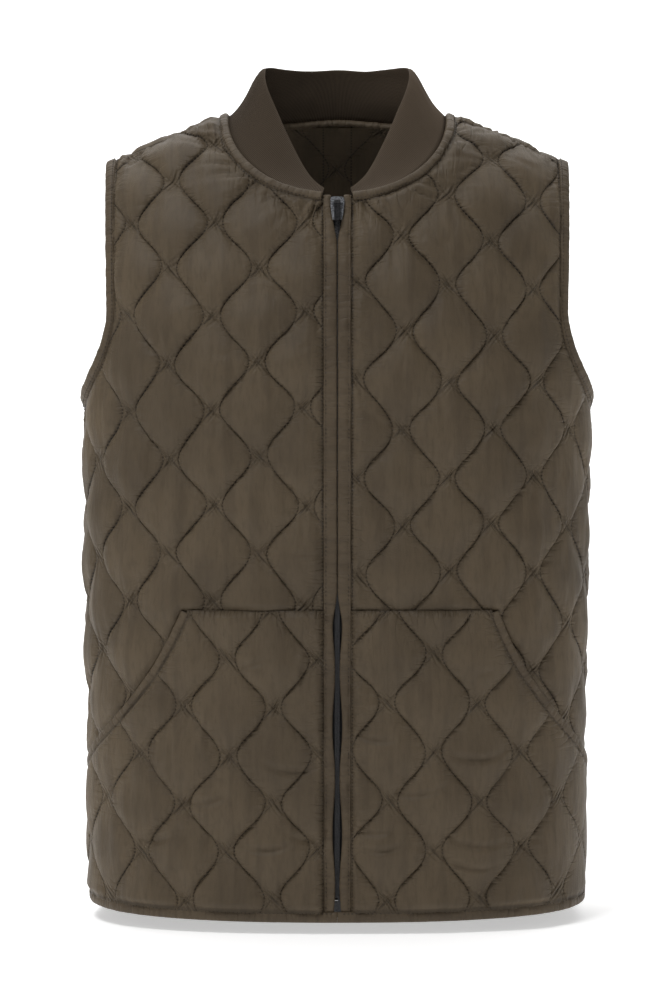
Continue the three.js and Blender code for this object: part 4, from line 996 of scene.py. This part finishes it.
def armholeBand(name, side):
    points, normals = armholePath(side)
    low = smooth((armhole["centre"] - points[:, 2]) / armhole["drop"])
    profile = rucked(bandProfile(9.6, binding["thickness"]), lengthsOf(points), 20 + side)
    profile[..., 1] += 0.35 * low[:, None] * np.maximum(profile[..., 0], 0)
    profile[..., 0] += 0.3
    return tubeMesh(name, carry(points, normals, profile, -side, closed=True), bindingCloth, closed=True)


armRight, armLeft = armholeBand("armhole_right_band", -1), armholeBand("armhole_left_band", 1)


def neckPath(spacing):
    # From the right placket round the back to the left one: q runs -1 to 1, the back within a half of 0
    def placeAt(q):
        share = np.abs(q)
        points, normals = np.zeros((len(q), 3)), np.zeros((len(q), 3))
        angles = np.where(share < 0.5, np.pi / 2 * (1 - 2 * share), neck["endAngle"] * (2 * share - 1))
        for face in (1, -1):
            for side in (1, -1):
                these = ((share >= 0.5) if face > 0 else (share < 0.5)) & ((q >= 0) if side > 0 else (q < 0))
                s, t = neckSeam(face, angles[these], side)
                points[these], normals[these] = clothPoint(face, s, t), clothNormal(face, s, t)
        return points, normals, angles, share < 0.5
    q = np.linspace(-1, 1, 1601)
    length = lengthsOf(placeAt(q)[0])
    even = np.interp(np.linspace(0, length[-1], int(length[-1] / spacing)), length, q)
    return placeAt(even)


def smoothedAlong(values, reach):  # a running mean, so that directions change gently where two curves meet
    kernel = np.hanning(2 * reach + 3)[1:-1]
    kernel = kernel / kernel.sum()
    padded = np.concatenate([np.repeat(values[:1], reach, axis=0), values, np.repeat(values[-1:], reach, axis=0)])
    return np.stack([np.convolve(padded[:, i], kernel, mode="valid") for i in range(values.shape[1])], axis=-1)


neckBandWidth = 6.6
points, normals, angles, behind = neckPath(1.3)
profile = rucked(bandProfile(neckBandWidth + 1.4, binding["thickness"]), lengthsOf(points), 31, 0.45)
neckBand = tubeMesh("neck_band", carry(points, smoothedAlong(normals, 6), profile, -1), bindingCloth)

collar = {"height": 57.0, "sideHeight": 54.6, "cornerDrop": 2.8, "backHeight": 45.2, "taper": 3.2, "endHeight": 3.0, "thickness": 2.6,
          "side": 33.6, "front": 60.0, "back": 25.0, "bow": -3.2, "curl": 2.2, "rib": 1.5, "ribDepth": 0.34, "perRib": 4}


def ribCollar(name):
    # Each ring leans in from the neck seam by an angle that changes round it, bows outwards in its middle,
    # and is closed over a rounded top; ribs raise both faces by |cos| along the seam
    points, normals, angles, behind = neckPath(collar["rib"] / collar["perRib"])
    travel = smoothedAlong(np.gradient(points, axis=0), 16)
    sideways = unit(np.cross(unit(travel), smoothedAlong(normals, 16)))
    foot = points + sideways * (neckBandWidth + 0.9)
    inward = np.stack([-foot[:, 0], neck["axisY"] - foot[:, 1], 0 * foot[:, 0]], axis=-1)
    inward = unit(inward)
    share = np.sin(angles) ** 2
    far = np.where(behind, collar["back"], collar["front"])
    lean = np.radians(collar["side"] + (far - collar["side"]) * share)
    grown = collar["sideHeight"] + (collar["height"] - collar["sideHeight"]) * smooth(angles / 0.6)
    tapered = grown * (1 - (angles / (np.pi / 2)) ** collar["taper"])
    backTall = collar["sideHeight"] + (collar["backHeight"] - collar["sideHeight"]) * share**1.8
    tall = np.maximum(np.where(behind, backTall, tapered), collar["endHeight"])
    tall = tall - collar["cornerDrop"] * np.exp(-((angles / 0.3) ** 2))
    rise = inward * np.sin(lean)[:, None]
    rise[:, 2] = np.cos(lean)
    outward = unit(np.cross(rise, unit(travel)))
    length = lengthsOf(points)
    rib = np.abs(np.cos(np.pi * length / collar["rib"])) - 0.5
    v = np.array([0, 0.1, 0.2, 0.32, 0.44, 0.56, 0.68, 0.8, 0.9, 0.96, 0.99, 1.0, 0.99, 0.96, 0.9, 0.8, 0.68, 0.56,
                  0.44, 0.32, 0.2, 0.1, 0])
    side = np.array([1, 1, 1, 1, 1, 1, 1, 1, 1, 0.85, 0.55, 0, -0.55, -0.85] + [-1] * 9)
    soft = softNoise(length[:, None] / 26, v * 2.5, 51) * 1.1 + softNoise(length[:, None] / 9, v * 3, 52) * 0.35
    bow = (collar["bow"] * np.sin(np.pi * v) * (1 - v) * 1.6 + soft * np.sin(np.pi * np.minimum(v, 0.8))
           - collar["curl"] * v**8) * (tall / collar["height"])[:, None]
    off = -collar["thickness"] / 2 + side * (collar["thickness"] / 2 + collar["ribDepth"] * rib[:, None])
    wander = softNoise(length[:, None] / 24, v * 0 + 3, 53) * 0.4 * (tall / collar["height"])[:, None]
    rings = (foot[:, None] + rise[:, None] * (v[None, :] * (tall[:, None] + wander))[..., None]
             + outward[:, None] * (bow + off)[..., None])
    return tubeMesh(name, rings, ribKnit, ribs=lambda along: np.append(np.append(0, length), length[-1]) / collar["rib"])


collarCloth = ribCollar("collar_knit")


def neckTape(name):
    # A puckered roll of bias cloth inside the back of the neck, hanging just below the collar's foot
    angle = np.linspace(0.06, np.pi / 2, 90)
    flatPlaces = [neckSeam(-1, angle, -1), neckSeam(-1, angle[:-1][::-1], 1)]
    s, t = (np.concatenate([a, b]) for a, b in zip(*flatPlaces))
    points, normals = clothPoint(-1, s, t), clothNormal(-1, s, t)
    profile = np.array([[-8.3, -1.0], [-8.9, -3.4], [-8.6, -6.0], [-7.4, -7.6], [-5.6, -7.6], [-4.4, -6.0],
                        [-4.0, -3.4], [-4.2, -1.0]])
    full = rucked(profile, lengthsOf(points), 61, 0.2)
    full[:, 1:7, 0] -= 0.7 * softNoise(lengthsOf(points)[:, None] / 2.6, profile[1:7, 1] / 6, 63)
    return tubeMesh(name, carry(points, normals, full, 1), bindingCloth)


innerTape = neckTape("neck_inner_tape")
print("edges ready")


def pocketBand(name, side):
    line = pocketHand(side, pocket["edgeWidth"], 150)
    line = line[(line[:, 0] < sideSeam - 1)]
    s, t = line[:, 0] * side, line[:, 1]
    points, normals = clothPoint(1, s, t), clothNormal(1, s, t)
    profile = rucked(bandProfile(pocket["edgeWidth"], pocket["edgeThickness"], under=-1.2), lengthsOf(points), 71, 0.28)
    drop = 0.9 * smooth((20 - sideSeam + line[:, 0]) / 20)
    profile[..., 1] += pocket["base"] - drop[:, None] * 0.8
    return tubeMesh(name, carry(points, normals, profile, side), bindingCloth)


bandRight, bandLeft = pocketBand("pocket_right_band", -1), pocketBand("pocket_left_band", 1)


zipParts = {"partsBelow": 268.0, "closed": 0.35, "open": 3.1, "openLength": 34.0, "slider": 553.0, "web": 27.0,
            "webGap": 5.2, "top": 592.0}


def zipHalfGap(t):
    low = smooth((zipParts["partsBelow"] - t) / zipParts["openLength"]) * (zipParts["open"] - zipParts["closed"])
    high = np.clip((t - zipParts["slider"]) / zipParts["web"], 0, 1) * (zipParts["webGap"] - zipParts["closed"])
    lower = smooth((zipParts["partsBelow"] - t) / zipParts["openLength"])
    return zipParts["closed"] + low + high + 1.1 * lower * np.cos(2 * np.pi * (t - 243) / 87)


placket = {"thickness": 3.3, "ruck": 0.6, "seam": 11.3}


def placketStrip(name, side):
    t = np.arange(body["hemSeam"], zipParts["top"] + 1, 1.6)
    s = np.full(t.shape, side * placket["seam"])
    points, normals = clothPoint(1, s, t), clothNormal(1, s, t)
    width = placket["seam"] - zipHalfGap(t)
    share = np.array([0, 0.0, 0.05, 0.12, 0.18, 0.26, 0.4, 0.6, 0.8, 0.93, 1.0, 1.0, 0.8, 0.3])
    level = np.array([0, 0.66, 0.86, 0.94, 0.80, 0.95, 1.03, 1.05, 1.0, 0.9, 0.55, 0, 0, 0])
    profile = np.stack([share[None, :] * width[:, None],
                        np.broadcast_to(level * placket["thickness"], (len(t), len(share)))], axis=-1)
    wave = softNoise(t[:, None] / 4.4, share * 2.1, 80 + side) + 0.5 * softNoise(t[:, None] / 13, share * 2, 84 + side)
    profile[..., 1] += placket["ruck"] * wave * smooth(level * 2 - 0.6)
    return tubeMesh(name, carry(points, normals, profile, side), bindingCloth)


stripRight, stripLeft = placketStrip("placket_right_cloth", -1), placketStrip("placket_left_cloth", 1)

zipChain = {"tapeHalf": 10.0, "tapeTop": -0.9, "tapeThick": 0.9, "coilRadius": 1.25, "wire": 0.36, "pitch": 1.35,
            "low": 14.0, "high": 591.0, "perTurn": 7, "level": -0.45}


def zipTape(name):
    t = np.arange(zipChain["low"], zipChain["high"], 4.0)
    points, normals = clothPoint(1, 0 * t, t), clothNormal(1, 0 * t, t)
    half, top, low = zipChain["tapeHalf"], zipChain["tapeTop"] - 0.4, zipChain["tapeTop"] - zipChain["tapeThick"] - 0.4
    a = np.linspace(-half, half, 13)
    profile = np.concatenate([np.stack([a, top + 0 * a], axis=-1), np.stack([a[::-1], low + 0 * a], axis=-1)])
    return tubeMesh(name, carry(points, normals, profile, 1), tapeCloth)


def zipCoil(name, side):
    # A wire wound round a line beside the middle: the line's point plus a circle across it, moved up by one
    # pitch for each turn; the two sides' turns lie between each other
    turns = (zipChain["high"] - zipChain["low"] - 4) / zipChain["pitch"]
    angle = np.arange(0, turns * 2 * np.pi, 2 * np.pi / zipChain["perTurn"])
    t = zipChain["low"] + 2 + angle / (2 * np.pi) * zipChain["pitch"]
    s = side * 0.95 + zipChain["coilRadius"] * np.cos(angle + (0 if side > 0 else np.pi))
    lift = zipChain["level"] + 1.0 + 0.85 * np.sin(angle + (0 if side > 0 else np.pi))
    coarse = np.linspace(t[0], t[-1], 300)
    base, out = clothPoint(1, 0 * coarse, coarse), clothNormal(1, 0 * coarse, coarse)
    at = lambda values: np.stack([np.interp(t, coarse, values[:, i]) for i in range(3)], axis=-1)
    centre, outward = at(base), at(out)
    line = centre + outward * lift[:, None]
    line[:, 0] += s
    travel = unit(np.gradient(line, axis=0))
    one = unit(np.cross(travel, outward))
    two = np.cross(travel, one)
    spin = np.linspace(0, 2 * np.pi, 5)[:-1]
    rings = line[:, None] + zipChain["wire"] * (one[:, None] * np.cos(spin)[:, None] + two[:, None] * np.sin(spin)[:, None])
    return tubeMesh(name, rings, coilPlastic)


tape = zipTape("zip_tape_cloth")
coils = [zipCoil("zip_coil_right", -1), zipCoil("zip_coil_left", 1)]
print("zip ready")


# Sewing

def clothRow(face, s, t, h):
    normals = clothNormal(face, s, t)
    return stitchRow(clothPoint(face, s, t) + normals * np.asarray(h)[..., None], normals)


def keptRuns(keep):  # first and last place of each run of places that are kept, short runs left out
    edges = np.flatnonzero(np.diff(np.concatenate([[0], keep.astype(int), [0]])))
    return [(a, b) for a, b in zip(edges[::2], edges[1::2]) if b - a > 8]


def frontStitches(side, quilt):
    rows = []
    t = np.arange(body["hemSeam"] + 3, 720, 0.9)
    neckSide = neckEdge(1, -1.5)(t)
    outer = np.minimum(sideSeam - 2, quarter - armholeSeam(1, t) - 1.5)
    for k in range(-10, 11):
        s = stitchLine(quilt, k, t)
        out = s * side
        top = crestLength(1, np.clip(out, 0, quarter)) - body["seamForward"] - 2
        keep = (out > np.maximum(placketEdge + 1, neckSide)) & (out < outer) & (t < top)
        keep &= outsidePocket(side, s, t) > 1.0
        for a, b in keptRuns(keep):
            rows.append(clothRow(1, s[a:b], t[a:b], frontHeight(side, quilt, s[a:b], t[a:b]) + 0.05))
    return rows


def pocketStitches(side, quilt):
    rows = []
    height = pocketHeight(side, pocket["edgeWidth"])
    t = np.arange(body["hemSeam"] + 1, pocket["top"], 0.9)
    for k in range(-10, 11):
        s = stitchLine(quilt, k, t)
        out = s * side
        keep = (out > placketEdge + 1) & (out < sideSeam - 3) & (t < height(np.clip(out, 0, quarter)) - 1)
        for a, b in keptRuns(keep):
            rows.append(clothRow(1, s[a:b], t[a:b], pocketLevel(side, quilt, s[a:b], t[a:b]) + 0.05))
    u = np.arange(placketEdge + 1, pocket["topHalf"][side] + 2, 1.0)
    level = pocketLevel(side, quilt, u * side, pocket["top"] - 2.2 + 0 * u)
    rows.append(clothRow(1, u * side, pocket["top"] - 2.2 + 0 * u, level + 0.1))
    for inset, lift in ((pocket["edgeWidth"] + 0.9, 0.15), (1.6, 0.0)):
        line = pocketHand(side, inset, 200)
        line = line[(line[:, 0] < sideSeam - 3) & (line[:, 1] < pocket["top"])]
        level = pocketLevel(side, quilt, line[:, 0] * side, line[:, 1]) + lift if inset > 5 else (
            pocket["base"] + pocket["edgeThickness"] * 0.82 + 0 * line[:, 0])
        rows.append(clothRow(1, line[:, 0] * side, line[:, 1], level))
    return rows


def backStitches(quilt):
    rows = []
    t = np.arange(body["hemSeam"] + 3, 790, 1.0)
    edge = np.where(t > float(crestLength(-1, neckLines[-1][0, 0])), neckLines[-1][0, 0] + 1, neckEdge(-1, -1.5)(t))
    below = t < armhole["centre"] - armhole["drop"] + 1.2
    outer = np.where(below, 2 * quarter - sideSeam - 2, quarter - armholeSeam(-1, np.minimum(t, armTop[-1])) - 1.5)
    for k in range(-9, 9):
        s = stitchLine(quilt, k, t)
        out = np.abs(s)
        keep = (out > edge) & (out < outer) & (t < crestLength(-1, out) + body["seamForward"] - 2)
        for a, b in keptRuns(keep):
            rows.append(clothRow(-1, s[a:b], t[a:b], backHeight(quilt, s[a:b], t[a:b]) + 0.05))
    return rows


def edgeStitches():
    rows = []
    for side in (-1, 1):
        t = np.arange(body["hemSeam"] + 1, zipParts["top"] - 8, 1.2)
        for s, h in ((placket["seam"] + 0.9, 2.35), (placket["seam"] - 1.9, 2.85)):
            rows.append(clothRow(1, side * s + 0 * t, t, h + 0 * t))
        u = np.arange(4, sideSeam - 1, 1.5)
        rows.append(clothRow(1, side * u, body["hemSeam"] + hemLine(u) - 1.6, 4.9 + 0 * u))
        points, normals = armholePath(side)
        travel = np.roll(points, -1, axis=0) - np.roll(points, 1, axis=0)
        sideways = unit(np.cross(normals, travel)) * -side
        low = smooth((armhole["centre"] - points[:, 2]) / armhole["drop"])[:, None]
        for a, h in ((-1.1, 2.25), (1.7, 3.95)):
            rows.append(stitchRow(points + sideways * a + normals * (h + 0.35 * low * max(a, 0)), normals))
    u = np.arange(-backHemEnd + 1, backHemEnd - 1, 1.5)
    rows.append(clothRow(-1, u, body["hemSeam"] + hemLine(u) - 1.6, 3.8 + 0 * u))
    points, normals, _, _ = neckPath(1.3)
    sideways = unit(np.cross(smoothedAlong(normals, 6), np.gradient(points, axis=0))) * -1
    for a, h in ((-1.2, 2.35), (1.4, 3.75)):
        rows.append(stitchRow(points + sideways * a + normals * h, normals))
    return rows


quiltSewing = [
    addStitches("sewing_front_right", frontStitches(-1, quilts["frontRight"])),
    addStitches("sewing_front_left", frontStitches(1, quilts["frontLeft"])),
    addStitches("sewing_back", backStitches(quilts["back"])),
    addStitches("sewing_pocket_right", pocketStitches(-1, quilts["pocketRight"])),
    addStitches("sewing_pocket_left", pocketStitches(1, quilts["pocketLeft"])),
]
edgeSewing = addStitches("sewing_edges", edgeStitches(), darkThread)
print("sewing ready")

# What each piece stands for, its finish, and the cloth that it was cut from

standsFor = {
    "front_right_cloth": ("front_right_panel", "quilted_cloth"),
    "front_left_cloth": ("front_left_panel", "quilted_cloth"),
    "back_cloth": ("back_panel", "quilted_cloth"),
    "pocket_right_cloth": ("pocket_right", "quilted_cloth"),
    "pocket_left_cloth": ("pocket_left", "quilted_cloth"),
    "pocket_right_band": ("pocket_right_edge", "plain_cloth"),
    "pocket_left_band": ("pocket_left_edge", "plain_cloth"),
    "hem_left_band": ("hem_left_binding", "plain_cloth"),
    "hem_right_band": ("hem_right_binding", "plain_cloth"),
    "hem_back_band": ("hem_back_binding", "plain_cloth"),
    "armhole_right_band": ("armhole_right_binding", "plain_cloth"),
    "armhole_left_band": ("armhole_left_binding", "plain_cloth"),
    "neck_band": ("neck_binding", "plain_cloth"),
    "collar_knit": ("collar", "rib_knit"),
    "placket_right_cloth": ("placket_right", "plain_cloth"),
    "placket_left_cloth": ("placket_left", "plain_cloth"),
    "zip_tape_cloth": ("zip_chain", "zip_tape"),
}
for name, (node, slot) in standsFor.items():
    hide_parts(node)
for node in ("zip_slider", "zip_pull_tab", "zip_end_box"):
    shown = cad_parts[node]
    shown.data.materials.clear()
    shown.data.materials.append(sliderMetal if node == "zip_slider" else zipMetal)

# Camera, floor and light

view = {"distance": 2.3, "height": -0.3295, "aside": -0.0011, "lens": 95.5}
lens = bpy.data.cameras.new("camera")
lens.sensor_fit, lens.sensor_height, lens.sensor_width, lens.lens = "VERTICAL", 36, 36, view["lens"]
camera = bpy.data.objects.new("camera", lens)
camera.matrix_world = (Matrix.Translation((view["aside"], -view["distance"], view["height"]))
                       @ Matrix.Rotation(np.pi / 2, 4, "X"))
bpy.context.scene.collection.objects.link(camera)
bpy.context.scene.camera = camera

stageSize = {"floor": -0.6795, "wide": 9.0, "ahead": -3.0, "behind": 2.6, "tall": 3.6, "bend": 1.2, "glow": 0.47}


def backdrop():
    # Level floor, a quarter circle up behind, then upright
    arc = np.linspace(0, np.pi / 2, 24)
    y = np.concatenate([[stageSize["ahead"]], stageSize["behind"] + stageSize["bend"] * np.sin(arc),
                        [stageSize["behind"] + stageSize["bend"]]])
    z = np.concatenate([[0], stageSize["bend"] * (1 - np.cos(arc)), [stageSize["tall"]]]) + stageSize["floor"]
    x = np.array([-stageSize["wide"], stageSize["wide"]]) / 2
    grid = np.stack(np.broadcast_arrays(x[None, :], y[:, None], z[:, None]), axis=-1)
    mesh = bpy.data.meshes.new("floor")
    mesh.from_pydata(grid.reshape(-1, 3).tolist(), [], gridQuads(len(y), 2).tolist())
    made, wires = newFinish("floor paper")
    place = wires.node("ShaderNodeTexCoord", {}, {}, out=3)
    grain = wires.node("ShaderNodeTexNoise", {}, {"Vector": place, "Scale": 6.0, "Detail": 2.0})
    tone = mixed(wires, grain, (0.90, 0.90, 0.90, 1), (0.93, 0.93, 0.93, 1))
    finishWith(wires, {"Base Color": tone, "Roughness": 0.95, "Specular IOR Level": 0.1,
                       "Emission Color": (1, 1, 1, 1), "Emission Strength": stageSize["glow"]})
    mesh.materials.append(made)
    mesh.polygons.foreach_set("use_smooth", np.ones(len(mesh.polygons), bool))
    floor = bpy.data.objects.new("floor", mesh)
    bpy.context.scene.collection.objects.link(floor)


backdrop()
lights = {
    "key": {"at": (-0.8, -1.25, 2.0), "size": 0.9, "power": 39},
    "fill": {"at": (1.4, -2.6, 0.1), "size": 1.6, "power": 1.5},
    "left": {"at": (-2.6, -0.4, 0.3), "size": 1.4, "power": 6.5},
    "right": {"at": (2.6, -0.2, 0.2), "size": 1.4, "power": 6},
    "behind": {"at": (0.0, 1.6, 1.9), "size": 3.2, "power": 62},
}
for name, light in lights.items():
    lamp = bpy.data.lights.new(name, "AREA")
    lamp.shape, lamp.size, lamp.energy = "SQUARE", light["size"], light["power"]
    made = bpy.data.objects.new(name, lamp)
    target = np.array([0, 2.4, -0.3]) if name == "behind" else np.array([0, 0, -0.33])
    away = unit(np.array(light["at"]) - target)
    side = unit(np.cross([0, 0, 1.0], away)) if abs(away[2]) < 0.99 else np.array([1.0, 0, 0])
    turned = Matrix(np.vstack([np.column_stack([side, np.cross(away, side), away, light["at"]]), [0, 0, 0, 1]]))
    made.matrix_world = turned
    bpy.context.scene.collection.objects.link(made)

room = bpy.data.worlds.new("room")
room.use_nodes = True
room.node_tree.nodes["Background"].inputs["Color"].default_value = (1, 1, 1, 1)
room.node_tree.nodes["Background"].inputs["Strength"].default_value = 0.125
bpy.context.scene.world = room
bpy.context.scene.view_settings.view_transform = "Standard"
print("stage ready")
